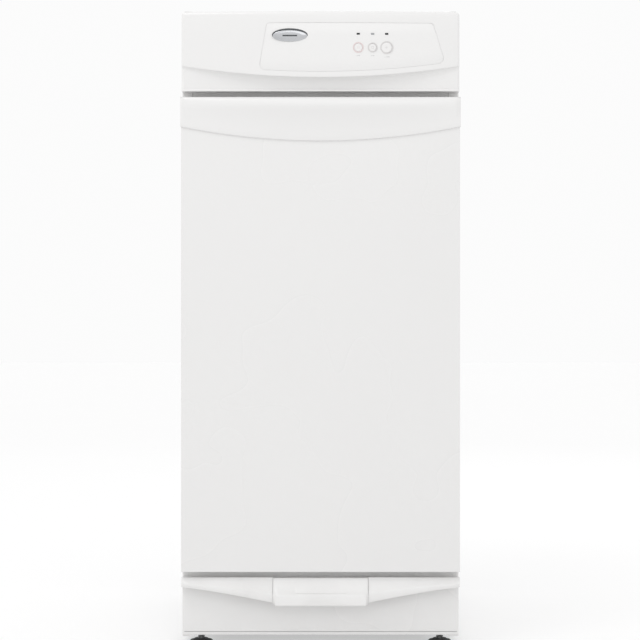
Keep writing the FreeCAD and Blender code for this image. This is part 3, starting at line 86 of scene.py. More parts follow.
class CompactorColours(bpy.types.PropertyGroup):
    """Base colours of the main finishes."""
    enamel: FloatVectorProperty(name="Enamel", description="White enamel on the steel panels",
                                default=(0.775, 0.77, 0.765), subtype="COLOR", size=3)
    moulding: FloatVectorProperty(
        name="Moulding", description="White plastic of the console, handle and toe bar",
        default=(0.79, 0.785, 0.78), subtype="COLOR", size=3)
    bin_paint: FloatVectorProperty(name="Bin paint", description="Grey paint inside the drawer's bin",
                                   default=(0.30, 0.31, 0.32), subtype="COLOR", size=3)
    press_paint: FloatVectorProperty(name="Press paint", description="Dark paint of the press head",
                                     default=(0.06, 0.065, 0.07), subtype="COLOR", size=3)


def sizes():
    return bpy.context.scene.compactor_sizes


def colours():
    return bpy.context.scene.compactor_colours


# ------------------------------------------------------------ shader effects

def effect(name, inputs, outputs):
    """A new shader node group with named sockets, or the one that is already made."""
    group = bpy.data.node_groups.get(name)
    if group:
        return group, None, None
    group = bpy.data.node_groups.new(name, "ShaderNodeTree")
    for label, kind, default in inputs:
        socket = group.interface.new_socket(name=label, in_out="INPUT", socket_type=kind)
        if default is not None:
            socket.default_value = default
    for label, kind in outputs:
        group.interface.new_socket(name=label, in_out="OUTPUT", socket_type=kind)
    return group, group.nodes.new("NodeGroupInput"), group.nodes.new("NodeGroupOutput")


def noise(tree, vector, scale, detail=3.0, roughness=0.5):
    node = tree.nodes.new("ShaderNodeTexNoise")
    tree.links.new(vector, node.inputs["Vector"])
    if isinstance(scale, (int, float)):
        node.inputs["Scale"].default_value = scale
    else:
        tree.links.new(scale, node.inputs["Scale"])
    node.inputs["Detail"].default_value = detail
    node.inputs["Roughness"].default_value = roughness
    return node.outputs["Fac"]


def math_node(tree, operation, first, second=None, clamp=False):
    node = tree.nodes.new("ShaderNodeMath")
    node.operation = operation
    node.use_clamp = clamp
    for socket, value in zip(node.inputs, (first, second)):
        if value is None:
            continue
        if isinstance(value, (int, float)):
            socket.default_value = value
        else:
            tree.links.new(value, socket)
    return node.outputs[0]


def spread(tree, value, low, high, to_low=0.0, to_high=1.0):
    """Map a value from one range to another."""
    node = tree.nodes.new("ShaderNodeMapRange")
    tree.links.new(value, node.inputs["Value"])
    for label, amount in zip(("From Min", "From Max", "To Min", "To Max"), (low, high, to_low, to_high)):
        if isinstance(amount, (int, float)):
            node.inputs[label].default_value = amount
        else:
            tree.links.new(amount, node.inputs[label])
    return node.outputs["Result"]


def mixed(tree, factor, first, second):
    """Blend two colours; each may be a socket or a plain colour."""
    node = tree.nodes.new("ShaderNodeMix")
    node.data_type = "RGBA"
    for socket, value in ((node.inputs[0], factor), (node.inputs[6], first), (node.inputs[7], second)):
        if isinstance(value, (int, float)):
            socket.default_value = value
        elif isinstance(value, (tuple, list)):
            socket.default_value = (*value[:3], 1)
        else:
            tree.links.new(value, socket)
    return node.outputs[2]


def fine_grain():
    """Blotches and fine texture: a factor for colour, a roughness and a height."""
    group, source, sink = effect("Fine grain", [
        ("Vector", "NodeSocketVector", None), ("Blotch scale", "NodeSocketFloat", 6.0),
        ("Grain scale", "NodeSocketFloat", 900.0), ("Roughness", "NodeSocketFloat", 0.4),
        ("Roughness spread", "NodeSocketFloat", 0.06)],
        [("Blotch", "NodeSocketFloat"), ("Roughness", "NodeSocketFloat"), ("Height", "NodeSocketFloat")])
    if source is None:
        return group
    blotch = noise(group, source.outputs["Vector"], source.outputs["Blotch scale"], 2.0)
    grain = noise(group, source.outputs["Vector"], source.outputs["Grain scale"], 2.0, 0.6)
    shift = math_node(group, "MULTIPLY", math_node(group, "SUBTRACT", blotch, 0.5),
                      source.outputs["Roughness spread"])
    rough = math_node(group, "ADD", source.outputs["Roughness"],
                      math_node(group, "MULTIPLY", shift, 2.0), True)
    group.links.new(blotch, sink.inputs["Blotch"])
    group.links.new(rough, sink.inputs["Roughness"])
    group.links.new(grain, sink.inputs["Height"])
    return group


def edge_wear():
    """A mask that is bright along edges, found from how a rounded normal leaves the true one,
    and broken up by noise."""
    group, source, sink = effect("Edge wear", [
        ("Vector", "NodeSocketVector", None), ("Amount", "NodeSocketFloat", 0.5)],
        [("Mask", "NodeSocketFloat")])
    if source is None:
        return group
    geometry = group.nodes.new("ShaderNodeNewGeometry")
    rounded = group.nodes.new("ShaderNodeBevel")
    rounded.samples = 4
    rounded.inputs["Radius"].default_value = 1.2 * MM
    likeness = group.nodes.new("ShaderNodeVectorMath")
    likeness.operation = "DOT_PRODUCT"
    group.links.new(rounded.outputs["Normal"], likeness.inputs[0])
    group.links.new(geometry.outputs["Normal"], likeness.inputs[1])
    edge = spread(group, likeness.outputs["Value"], 0.97, 0.80)
    breakup = spread(group, noise(group, source.outputs["Vector"], 60.0, 4.0, 0.65), 0.42, 0.62)
    mask = math_node(group, "MULTIPLY", math_node(group, "MULTIPLY", edge, breakup),
                     source.outputs["Amount"], True)
    group.links.new(mask, sink.inputs["Mask"])
    return group


def dust():
    """A mask for dust and scuffs that gathers low on the object."""
    group, source, sink = effect("Settled dust", [
        ("Vector", "NodeSocketVector", None), ("Amount", "NodeSocketFloat", 0.2)],
        [("Mask", "NodeSocketFloat")])
    if source is None:
        return group
    split = group.nodes.new("ShaderNodeSeparateXYZ")
    group.links.new(source.outputs["Vector"], split.inputs[0])
    low = spread(group, split.outputs["Z"], 0.16, 0.0)
    patches = spread(group, noise(group, source.outputs["Vector"], 22.0, 5.0, 0.6), 0.38, 0.7)
    mask = math_node(group, "MULTIPLY", math_node(group, "MULTIPLY", low, patches),
                     source.outputs["Amount"], True)
    group.links.new(mask, sink.inputs["Mask"])
    return group


def place_effect(tree, group, vector, **values):
    """Put an effect group into a material, fed with object coordinates and its own values."""
    node = tree.nodes.new("ShaderNodeGroup")
    node.node_tree = group
    tree.links.new(vector, node.inputs["Vector"])
    for label, value in values.items():
        node.inputs[label.replace("_", " ")].default_value = value
    return node


def start_material(name):
    """An empty material with a Principled shader, an output and object coordinates."""
    material = bpy.data.materials.new(name)
    material.use_nodes = True
    tree = material.node_tree
    tree.nodes.clear()
    output = tree.nodes.new("ShaderNodeOutputMaterial")
    shader = tree.nodes.new("ShaderNodeBsdfPrincipled")
    tree.links.new(shader.outputs[0], output.inputs["Surface"])
    place = tree.nodes.new("ShaderNodeTexCoord").outputs["Object"]
    return material, tree, shader, place


def bump(tree, shader, height, strength, distance):
    node = tree.nodes.new("ShaderNodeBump")
    node.inputs["Strength"].default_value = strength
    node.inputs["Distance"].default_value = distance
    tree.links.new(height, node.inputs["Height"])
    tree.links.new(node.outputs["Normal"], shader.inputs["Normal"])
    return node


def stretched(tree, place, scale):
    """Object coordinates stretched along an axis, for brushed and drawn finishes."""
    node = tree.nodes.new("ShaderNodeMapping")
    node.inputs["Scale"].default_value = scale
    tree.links.new(place, node.inputs["Vector"])
    return node.outputs["Vector"]


MADE = {}


def finish_of(kind):
    """The material of a named finish, made the first time it is asked for."""
    if kind not in MADE:
        MADE[kind] = FINISHES[kind](kind)
    return MADE[kind]


def painted(name, colour, roughness, peel, coat, wear=0.0, under=(0.35, 0.35, 0.36), dirt=0.0, grain=420.0):
    """Paint with orange peel, slight blotches, chipped edges and dust low down."""
    material, tree, shader, place = start_material(name)
    texture = place_effect(tree, fine_grain(), place, Blotch_scale=5.0, Grain_scale=grain,
                           Roughness=roughness, Roughness_spread=0.05)
    darker = tuple(c * 0.985 for c in colour)
    tone = mixed(tree, texture.outputs["Blotch"], colour, darker)
    if wear:
        mask = place_effect(tree, edge_wear(), place, Amount=wear).outputs["Mask"]
        tone = mixed(tree, mask, tone, under)
    if dirt:
        mask = place_effect(tree, dust(), place, Amount=dirt).outputs["Mask"]
        tone = mixed(tree, mask, tone, (0.42, 0.40, 0.37))
    tree.links.new(tone, shader.inputs["Base Color"])
    tree.links.new(texture.outputs["Roughness"], shader.inputs["Roughness"])
    shader.inputs["Coat Weight"].default_value = coat
    shader.inputs["Coat Roughness"].default_value = 0.12
    bump(tree, shader, texture.outputs["Height"], peel, 0.00006)
    return material


def enamel(name):
    return painted(name, tuple(colours().enamel), 0.27, 0.16, 0.3, wear=0.08, dirt=0.06, grain=420.0)


def liner_enamel(name):
    return painted(name, tuple(c * 0.95 for c in colours().enamel), 0.38, 0.3, 0.1, wear=0.25, dirt=0.2)


def moulding(name):
    """White plastic with a very fine spark-eroded texture."""
    return painted(name, tuple(colours().moulding), 0.33, 0.16, 0.12, dirt=0.15, grain=1500.0)


def control_film(name):
    return painted(name, (0.80, 0.795, 0.79), 0.30, 0.10, 0.15, grain=2400.0)


def button_plastic(name):
    return painted(name, (0.80, 0.79, 0.785), 0.28, 0.08, 0.2, grain=2400.0)


def ring_grey(name):
    return painted(name, (0.66, 0.645, 0.64), 0.34, 0.1, 0.1, grain=1800.0)


def ring_blush(name):
    return painted(name, (0.74, 0.635, 0.63), 0.34, 0.1, 0.1, grain=1800.0)


def print_ink(name):
    return painted(name, (0.30, 0.30, 0.31), 0.5, 0.1, 0.0, grain=1500.0)


def bin_paint(name):
    return painted(name, tuple(colours().bin_paint), 0.46, 0.8, 0.0, wear=0.8,
                   under=(0.5, 0.5, 0.5), grain=700.0)


def press_paint(name):
    return painted(name, tuple(colours().press_paint), 0.42, 0.6, 0.05, wear=1.0,
                   under=(0.42, 0.42, 0.43), grain=500.0)


def rail_paint(name):
    return painted(name, (0.075, 0.078, 0.082), 0.44, 0.5, 0.05, wear=0.9,
                   under=(0.4, 0.4, 0.41), dirt=0.3, grain=500.0)


def motor_paint(name):
    return painted(name, (0.045, 0.048, 0.052), 0.40, 0.5, 0.1, wear=0.5, under=(0.3, 0.3, 0.3), grain=500.0)


def moulded(name, colour, roughness, peel=0.5, grain=1200.0, wear=0.0):
    paler = tuple(min(1, c * 1.8 + 0.05) for c in colour)
    return painted(name, colour, roughness, peel, 0.0, wear=wear, under=paler, dirt=0.12, grain=grain)


def black_plastic(name):
    return moulded(name, (0.022, 0.022, 0.024), 0.48, 0.7, 900.0, 0.3)


def foot_plastic(name):
    return moulded(name, (0.06, 0.06, 0.063), 0.52, 0.6, 900.0, 0.5)


def nylon(name):
    material = moulded(name, (0.62, 0.60, 0.55), 0.42, 0.35, 1100.0)
    shader = next(node for node in material.node_tree.nodes if node.type == "BSDF_PRINCIPLED")
    shader.inputs["Subsurface Weight"].default_value = 0.12
    shader.inputs["Subsurface Radius"].default_value = (0.004, 0.003, 0.002)
    return material


def loom_tape(name):
    """Taped wires: tight spiral wraps along the loom."""
    material, tree, shader, place = start_material(name)
    wave = tree.nodes.new("ShaderNodeTexWave")
    wave.wave_type, wave.bands_direction = "BANDS", "DIAGONAL"
    wave.inputs["Scale"].default_value = 55.0
    wave.inputs["Distortion"].default_value = 0.6
    tree.links.new(place, wave.inputs["Vector"])
    tree.links.new(mixed(tree, wave.outputs["Fac"], (0.018, 0.018, 0.02), (0.05, 0.05, 0.055)),
                   shader.inputs["Base Color"])
    tree.links.new(spread(tree, wave.outputs["Fac"], 0, 1, 0.38, 0.6), shader.inputs["Roughness"])
    bump(tree, shader, wave.outputs["Fac"], 0.6, 0.0004)
    return material


def fleece(name):
    """Charcoal fleece: felted fibres in soft clumps."""
    material, tree, shader, place = start_material(name)
    clumps = noise(tree, place, 90.0, 6.0, 0.7)
    fibres = noise(tree, stretched(tree, place, (1.0, 1.0, 3.5)), 700.0, 4.0, 0.7)
    tree.links.new(mixed(tree, clumps, (0.008, 0.008, 0.009), (0.05, 0.05, 0.052)),
                   shader.inputs["Base Color"])
    tree.links.new(spread(tree, fibres, 0, 1, 0.8, 1.0), shader.inputs["Roughness"])
    shader.inputs["Sheen Weight"].default_value = 0.25
    bump(tree, shader, math_node(tree, "ADD", fibres, clumps), 0.9, 0.0012)
    return material


def metal(name, colour, roughness, brushed=None, scratch=0.3, blotch=18.0, stain=None):
    """Bare metal: brushed or turned lines, smears and stains."""
    material, tree, shader, place = start_material(name)
    shader.inputs["Metallic"].default_value = 1.0
    texture = place_effect(tree, fine_grain(), place, Blotch_scale=blotch, Grain_scale=700.0,
                           Roughness=roughness, Roughness_spread=0.12)
    lines = noise(tree, stretched(tree, place, brushed or (1, 1, 1)), 260.0, 4.0, 0.6)
    tone = mixed(tree, texture.outputs["Blotch"], colour, tuple(c * 0.78 for c in colour))
    if stain:
        mask = spread(tree, noise(tree, place, 35.0, 6.0, 0.7), 0.58, 0.72)
        tone = mixed(tree, mask, tone, stain)
    wear_mask = place_effect(tree, edge_wear(), place, Amount=0.8).outputs["Mask"]
    tone = mixed(tree, wear_mask, tone, tuple(min(1.0, c * 1.35) for c in colour))
    tree.links.new(tone, shader.inputs["Base Color"])
    tree.links.new(math_node(tree, "ADD", texture.outputs["Roughness"],
                             math_node(tree, "MULTIPLY", lines, 0.12), True), shader.inputs["Roughness"])
    bump(tree, shader, lines, scratch, 0.00005)
    return material


def galvanised(name):
    """Zinc-coated sheet with its crystal spangle."""
    material, tree, shader, place = start_material(name)
    shader.inputs["Metallic"].default_value = 0.9
    cells = tree.nodes.new("ShaderNodeTexVoronoi")
    cells.inputs["Scale"].default_value = 210.0
    cells.inputs["Randomness"].default_value = 1.0
    warp = tree.nodes.new("ShaderNodeVectorMath")
    warp.operation = "MULTIPLY_ADD"
    ripple = tree.nodes.new("ShaderNodeTexNoise")
    ripple.inputs["Scale"].default_value = 30.0
    tree.links.new(place, ripple.inputs["Vector"])
    tree.links.new(ripple.outputs["Color"], warp.inputs[0])
    warp.inputs[1].default_value = (0.006, 0.006, 0.006)
    tree.links.new(place, warp.inputs[2])
    tree.links.new(warp.outputs[0], cells.inputs["Vector"])
    shade = tree.nodes.new("ShaderNodeSeparateColor")
    tree.links.new(cells.outputs["Color"], shade.inputs[0])
    tone = mixed(tree, shade.outputs[0], (0.43, 0.44, 0.455), (0.52, 0.53, 0.545))
    mask = place_effect(tree, dust(), place, Amount=0.5).outputs["Mask"]
    tree.links.new(mixed(tree, mask, tone, (0.30, 0.28, 0.25)), shader.inputs["Base Color"])
    tree.links.new(spread(tree, shade.outputs[1], 0, 1, 0.30, 0.48), shader.inputs["Roughness"])
    bump(tree, shader, shade.outputs[0], 0.15, 0.00005)
    return material


def turned_steel(name):
    return metal(name, (0.50, 0.51, 0.52), 0.26, (1, 1, 30), 0.35)


def rolled_thread(name):
    return metal(name, (0.40, 0.40, 0.40), 0.30, (1, 1, 12), 0.4, stain=(0.10, 0.075, 0.05))


def oiled_steel(name):
    return metal(name, (0.16, 0.15, 0.14), 0.28, None, 0.3, stain=(0.05, 0.035, 0.02))


def spring_steel(name):
    return metal(name, (0.30, 0.31, 0.32), 0.3, (20, 1, 1), 0.3)


def bronze(name):
    return metal(name, (0.52, 0.34, 0.15), 0.34, None, 0.4, stain=(0.22, 0.13, 0.06))


def badge_chrome(name):
    return metal(name, (0.60, 0.61, 0.63), 0.16, (1, 1, 8), 0.15, blotch=40.0)


# dark metal for the badge's plain bar; on the badge's rim it is painted shade along the top
def badge_dark(name):
    return metal(name, (0.10, 0.105, 0.11), 0.28, None, 0.15, blotch=60.0)


def smoked_lens(name):
    return moulded(name, (0.012, 0.012, 0.013), 0.14, 0.05, 2500.0)


def pale_lens(name):
    return moulded(name, (0.33, 0.34, 0.35), 0.18, 0.05, 2500.0)


def circuit_lacquer(name):
    """Green lacquer over copper tracks."""
    material, tree, shader, place = start_material(name)
    brick = tree.nodes.new("ShaderNodeTexBrick")
    brick.inputs["Scale"].default_value = 120.0
    brick.inputs["Mortar Size"].default_value = 0.09
    brick.inputs["Color1"].default_value = (0.01, 0.085, 0.035, 1)
    brick.inputs["Color2"].default_value = (0.012, 0.11, 0.045, 1)
    brick.inputs["Mortar"].default_value = (0.05, 0.21, 0.10, 1)
    tree.links.new(stretched(tree, place, (1, 0, 1)), brick.inputs["Vector"])
    tree.links.new(brick.outputs["Color"], shader.inputs["Base Color"])
    tree.links.new(spread(tree, brick.outputs["Fac"], 0, 1, 0.25, 0.4), shader.inputs["Roughness"])
    bump(tree, shader, brick.outputs["Fac"], 0.4, 0.00008)
    return material


FINISHES = {f.__name__: f for f in (
    enamel, liner_enamel, moulding, control_film, button_plastic, ring_grey, ring_blush, print_ink,
    bin_paint, press_paint, rail_paint, motor_paint, black_plastic, foot_plastic, nylon, loom_tape,
    fleece, galvanised, turned_steel, rolled_thread, oiled_steel, spring_steel, bronze, badge_chrome,
    badge_dark, smoked_lens, pale_lens, circuit_lacquer)}


# ------------------------------------------------------------- modelling aids

def deselect():
    if bpy.context.mode != "OBJECT":
        bpy.ops.object.mode_set(mode="OBJECT")
    bpy.ops.object.select_all(action="DESELECT")


def activate(piece):
    deselect()
    piece.select_set(True)
    bpy.context.view_layer.objects.active = piece


def settle(piece):
    """Move a piece's place, turn and scale into its mesh."""
    activate(piece)
    bpy.ops.object.transform_apply(location=True, rotation=True, scale=True)
    return piece


def modify(piece, kind, **settings):
    """Add a modifier with its settings and apply it."""
    activate(piece)
    modifier = piece.modifiers.new(kind.title(), kind)
    for label, value in settings.items():
        setattr(modifier, label, value)
    bpy.ops.object.modifier_apply(modifier=modifier.name)
    return piece


def bevelled(piece, width, segments=2, angle=30):
    return modify(piece, "BEVEL", width=width, segments=segments, limit_method="ANGLE",
                  angle_limit=math.radians(angle), harden_normals=False)


def slab(name, low, high, bevel=0.0, segments=2):
    """A rectangular block between two corners, its edges rounded."""
    deselect()
    low, high = Vector(low), Vector(high)
    bpy.ops.mesh.primitive_cube_add(size=1, location=(low + high) / 2)
    piece = bpy.context.object
    piece.name = name
    piece.scale = high - low
    settle(piece)
    return bevelled(piece, bevel, segments) if bevel else piece


AXIS_TURN = {"X": (0, math.pi / 2, 0), "Y": (-math.pi / 2, 0, 0), "Z": (0, 0, 0)}


def drum(name, axis, start, radius, length, vertices=48, bevel=0.0, segments=2):
    """A round bar or disc from a start point along an axis."""
    deselect()
    direction = Vector({"X": (1, 0, 0), "Y": (0, 1, 0), "Z": (0, 0, 1)}[axis])
    bpy.ops.mesh.primitive_cone_add(vertices=vertices, radius1=radius, radius2=radius, depth=length,
                                    rotation=AXIS_TURN[axis], location=Vector(start) + direction * length / 2)
    piece = bpy.context.object
    piece.name = name
    settle(piece)
    return bevelled(piece, bevel, segments, 35) if bevel else piece


def selected_faces(piece, test):
    """Enter edit mode with just the faces that pass a test selected."""
    activate(piece)
    bpy.ops.object.mode_set(mode="EDIT")
    bpy.ops.mesh.select_mode(type="FACE")
    bpy.ops.mesh.select_all(action="DESELECT")
    mesh = bmesh.from_edit_mesh(piece.data)
    for face in mesh.faces:
        face.select = bool(test(face))
    mesh.select_flush_mode()
    bmesh.update_edit_mesh(piece.data)


def inset_and_push(piece, test, inset, push):
    """Inset the chosen faces and move them along a vector."""
    selected_faces(piece, test)
    bpy.ops.mesh.inset(thickness=inset)
    bpy.ops.transform.translate(value=push)
    bpy.ops.object.mode_set(mode="OBJECT")
    return piece


def spun(name, axis, centre, profile, steps=64):
    """A turned piece: an outline of (radius, height) points spun round an axis.
    The outline starts and ends on the axis, or else it is closed into a ring."""
    closed = profile[0][0] > 1e-7 or profile[-1][0] > 1e-7
    deselect()
    bpy.ops.mesh.primitive_circle_add(vertices=len(profile), fill_type="NOTHING")
    piece = bpy.context.object
    piece.name = name
    for vertex, (radius, height) in zip(piece.data.vertices, profile):
        vertex.co = (radius, 0, height)
    bpy.ops.object.mode_set(mode="EDIT")
    if not closed:
        mesh = bmesh.from_edit_mesh(piece.data)
        mesh.verts.ensure_lookup_table()
        last = mesh.edges.get((mesh.verts[0], mesh.verts[-1]))
        if last:
            mesh.edges.remove(last)
        bmesh.update_edit_mesh(piece.data)
    bpy.ops.mesh.select_all(action="SELECT")
    bpy.ops.mesh.spin(steps=steps, angle=2 * math.pi, center=(0, 0, 0), axis=(0, 0, 1))
    bpy.ops.mesh.select_all(action="SELECT")
    bpy.ops.mesh.remove_doubles(threshold=1e-6)
    bpy.ops.mesh.normals_make_consistent(inside=False)
    bpy.ops.object.mode_set(mode="OBJECT")
    piece.rotation_euler = AXIS_TURN[axis]
    piece.location = centre
    return settle(piece)


def laddered(name, loops, cap_start=True, cap_end=True, closed=True):
    """A shell through loops of points: a circle is shaped into the first loop, each next
    loop is bridged to the one before it, and the ends are filled."""
    deselect()
    bpy.ops.mesh.primitive_circle_add(vertices=len(loops[0]), fill_type="NOTHING")
    piece = bpy.context.object
    piece.name = name
    for vertex, point in zip(piece.data.vertices, loops[0]):
        vertex.co = point
    bpy.ops.object.mode_set(mode="EDIT")
    bpy.ops.mesh.select_mode(type="VERT")
    mesh = bmesh.from_edit_mesh(piece.data)
    mesh.verts.ensure_lookup_table()
    ring = list(mesh.verts)
    if not closed:
        last = mesh.edges.get((ring[0], ring[-1]))
        if last:
            mesh.edges.remove(last)
    elif cap_start:
        mesh.faces.new(ring)
    for loop in loops[1:]:
        following = [mesh.verts.new(point) for point in loop]
        count = len(ring)
        for index in range(count if closed else count - 1):
            after = (index + 1) % count
            mesh.faces.new((ring[index], ring[after], following[after], following[index]))
        ring = following
    if closed and cap_end:
        mesh.faces.new(ring[::-1])
    bmesh.update_edit_mesh(piece.data)
    bpy.ops.mesh.select_all(action="SELECT")
    bpy.ops.mesh.normals_make_consistent(inside=False)
    bpy.ops.object.mode_set(mode="OBJECT")
    return piece


def tube(name, points, radius, sides=12, closed=False, smooth=True):
    """A round bar along a line of points, its ends filled."""
    curve = bpy.data.curves.new(name, "CURVE")
    curve.dimensions = "3D"
    curve.bevel_depth = radius
    curve.bevel_resolution = max(1, sides // 4 - 1)
    curve.use_fill_caps = True
    curve.resolution_u = 6
    kind = "NURBS" if smooth else "POLY"
    spline = curve.splines.new(kind)
    spline.points.add(len(points) - 1)
    for point, place in zip(spline.points, points):
        point.co = (*place, 1)
    spline.use_cyclic_u = closed
    if smooth:
        spline.order_u = 3
        spline.use_endpoint_u = not closed
    piece = bpy.data.objects.new(name, curve)
    bpy.context.collection.objects.link(piece)
    activate(piece)
    bpy.ops.object.convert(target="MESH")
    return bpy.context.object


def copied(piece, name, shift=(0, 0, 0), turn=None, pivot=(0, 0, 0), flip=None):
    """A copy with a mesh of its own, moved, turned about a pivot or mirrored across an axis."""
    other = piece.copy()
    other.data = piece.data.copy()
    other.name = name
    bpy.context.collection.objects.link(other)
    activate(other)
    bpy.ops.object.mode_set(mode="EDIT")
    bpy.ops.mesh.select_all(action="SELECT")
    if turn:
        bpy.ops.transform.rotate(value=-turn[1], orient_axis=turn[0], center_override=pivot)
    if flip:
        factors = tuple(-1 if axis == flip else 1 for axis in "XYZ")
        bpy.ops.transform.resize(value=factors, center_override=pivot)
        bpy.ops.mesh.normals_make_consistent(inside=False)
    if any(shift):
        bpy.ops.transform.translate(value=shift)
    bpy.ops.object.mode_set(mode="OBJECT")
    return other


def joined(name, pieces):
    """Several meshes made into one object."""
    deselect()
    for piece in pieces:
        piece.select_set(True)
    bpy.context.view_layer.objects.active = pieces[0]
    if len(pieces) > 1:
        bpy.ops.object.join()
    piece = bpy.context.object
    piece.name = name
    return piece


def without(piece, *cutters):
    """Cut other meshes out of a piece and remove them."""
    for cutter in cutters:
        modify(piece, "BOOLEAN", operation="DIFFERENCE", object=cutter, solver="EXACT")
        bpy.data.objects.remove(cutter, do_unlink=True)
    return piece


def paint(piece, kind):
    """Give a mesh one finish all over; joining painted meshes keeps their finishes."""
    piece.data.materials.clear()
    piece.data.materials.append(finish_of(kind))
    return piece


def smooth(piece, angle=35):
    activate(piece)
    bpy.ops.object.shade_smooth_by_angle(angle=math.radians(angle))
    return piece


def fitted(piece, body, nodes=(), kind=None, angle=35):
    """Finish a piece: its material, shading, body and the nodes that it stands for."""
    if kind:
        paint(piece, kind)
    smooth(piece, angle)
    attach(piece, body)
    if nodes:
        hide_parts(*nodes)
    return piece


def span(node):
    """A node's lowest and highest corners."""
    low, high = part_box(node)
    return Vector(low), Vector(high)


def arc_height(x, half, ends, middle):
    """Height at x of the arc through two ends and a middle point."""
    drop = ends - middle
    if abs(drop) < 1e-7:
        return ends
    radius = (half * half + drop * drop) / (2 * abs(drop))
    rise = math.sqrt(max(radius * radius - x * x, 0)) - (radius - abs(drop))
    return ends - math.copysign(rise, drop)


def spaced(low, high, count):
    return [low + (high - low) * step / (count - 1) for step in range(count)]


# --------------------------------------------------------------- front mouldings

CONSOLE_LOW, CONSOLE_HIGH = span("console_housing")
HALF = CONSOLE_HIGH.x
CONSOLE_END = CONSOLE_LOW.y + 10 * MM


def console_face(x):
    """Y of the console's bowed front at x."""
    return arc_height(x, HALF, CONSOLE_END, CONSOLE_END - sizes().console_bow)


def bowed_path(half, front, back, corner, steps=56, corner_steps=5):
    """A closed outline in plan: a bowed front with rounded corners and a straight back.
    Each point is (x, y, outward x, outward y, how much it belongs to the front)."""
    def rounded(centre_x, start_angle, belonging):
        points = []
        for turn in range(corner_steps + 1):
            angle = start_angle + math.pi / 2 * turn / corner_steps
            across, outward = math.cos(angle), math.sin(angle)
            points.append((centre_x + corner * across, front(centre_x) + corner + corner * outward,
                           across, outward, belonging(turn / corner_steps)))
        return points
    path = rounded(-half + corner, math.pi, lambda share: share)
    for x in spaced(-half + corner, half - corner, steps)[1:-1]:
        path.append((x, front(x), 0, -1, 1))
    path += rounded(half - corner, -math.pi / 2, lambda share: 1 - share)
    path.append((half, back, 1, 0, 0))
    path.append((-half, back, -1, 0, 0))
    return path


def wrapped(name, path, rows):
    """A solid whose outline in plan shrinks or grows from row to row.
    Each row gives, at a path point, its inset, how far back it lies and its height."""
    loops = []
    for row in rows:
        loop = []
        for x, y, nx, ny, front in path:
            inset, back, height = row(x)
            fixed = abs(ny) < 1e-6 and front == 0 and abs(nx) == 1 and y > path[0][1] + 5 * MM
            loop.append((x - nx * inset, y - ny * inset + (0 if fixed else back), height))
        loops.append(loop)
    return laddered(name, loops)


class COMPACTOR_OT_console(bpy.types.Operator):
    """The bowed console moulding with its scooped lower edge"""
    bl_idname = "compactor.console"
    bl_label = "Console"

    def execute(self, context):
        low, high = CONSOLE_LOW.z, CONSOLE_HIGH.z
        setup = sizes()

        def smile(x):
            return arc_height(x, HALF, setup.smile_ends, setup.smile_middle)

        def wall(x, proud=0.0):
            """How far the straight wall under the bowed face lies behind that face at x."""
            return max(CONSOLE_END + setup.scoop_depth - proud - console_face(x), 0)

        def scoop(turn):
            """A row of the hollow that rolls from the curved edge back and down to the wall."""
            def row(x):
                tall = 1.5 * MM + wall(x) * 0.95
                return 0, wall(x) * math.sin(turn), smile(x) - 0.3 * MM - tall * (1 - math.cos(turn))
            return row

        def bead(inset, proud, rise):
            """A row of the small bead along the foot of the wall."""
            return lambda x: (inset * MM, wall(x, proud * MM), low + rise * MM)

        def lip(back, rise):
            """A row of the face's curved lower edge."""
            return lambda x: (0, back * MM, smile(x) + rise * MM)

        def crown(inset, drop):
            """A row of the face's rounded upper edge."""
            return lambda x: (inset * MM, 0, high - drop * MM)
        rows = [bead(*row) for row in (
            (0.4, 2.6, 0), (0, 3.1, 0.4), (0, 3.2, 1.6), (0, 3.0, 2.1), (0, 2.4, 2.6), (0, 0.5, 3.1),
            (0, 0, 3.9))]
        rows += [scoop(turn) for turn in spaced(math.pi / 2, math.pi / 16, 8)]
        rows += [lip(*row) for row in ((0.7, -0.25), (0.15, 0.25), (0, 1.1), (0, 4))]
        rows += [crown(*row) for row in (
            (0, 30), (0, 6.2), (0.25, 4.4), (0.9, 2.6), (2.0, 1.2), (3.4, 0.4), (5.2, 0))]
        path = bowed_path(HALF, console_face, CONSOLE_HIGH.y, 4 * MM)
        piece = wrapped("console_fascia", path, rows)
        cutter = panel_plate("recess_cutter", 0, 10 * MM, 0.6 * MM, 0)
        piece = without(piece, cutter)
        fitted(piece, "cabinet", ("console_housing",), "moulding", 30)
        return {"FINISHED"}


# x of the control panel's ends, each at its lower and its upper corner
PANEL_LEFT, PANEL_RIGHT = (-83 * MM, -74 * MM), (168 * MM, 154.6 * MM)
PANEL_DROP, PANEL_LIFT, PANEL_CORNER = 16.3 * MM, 7.2 * MM, 7 * MM


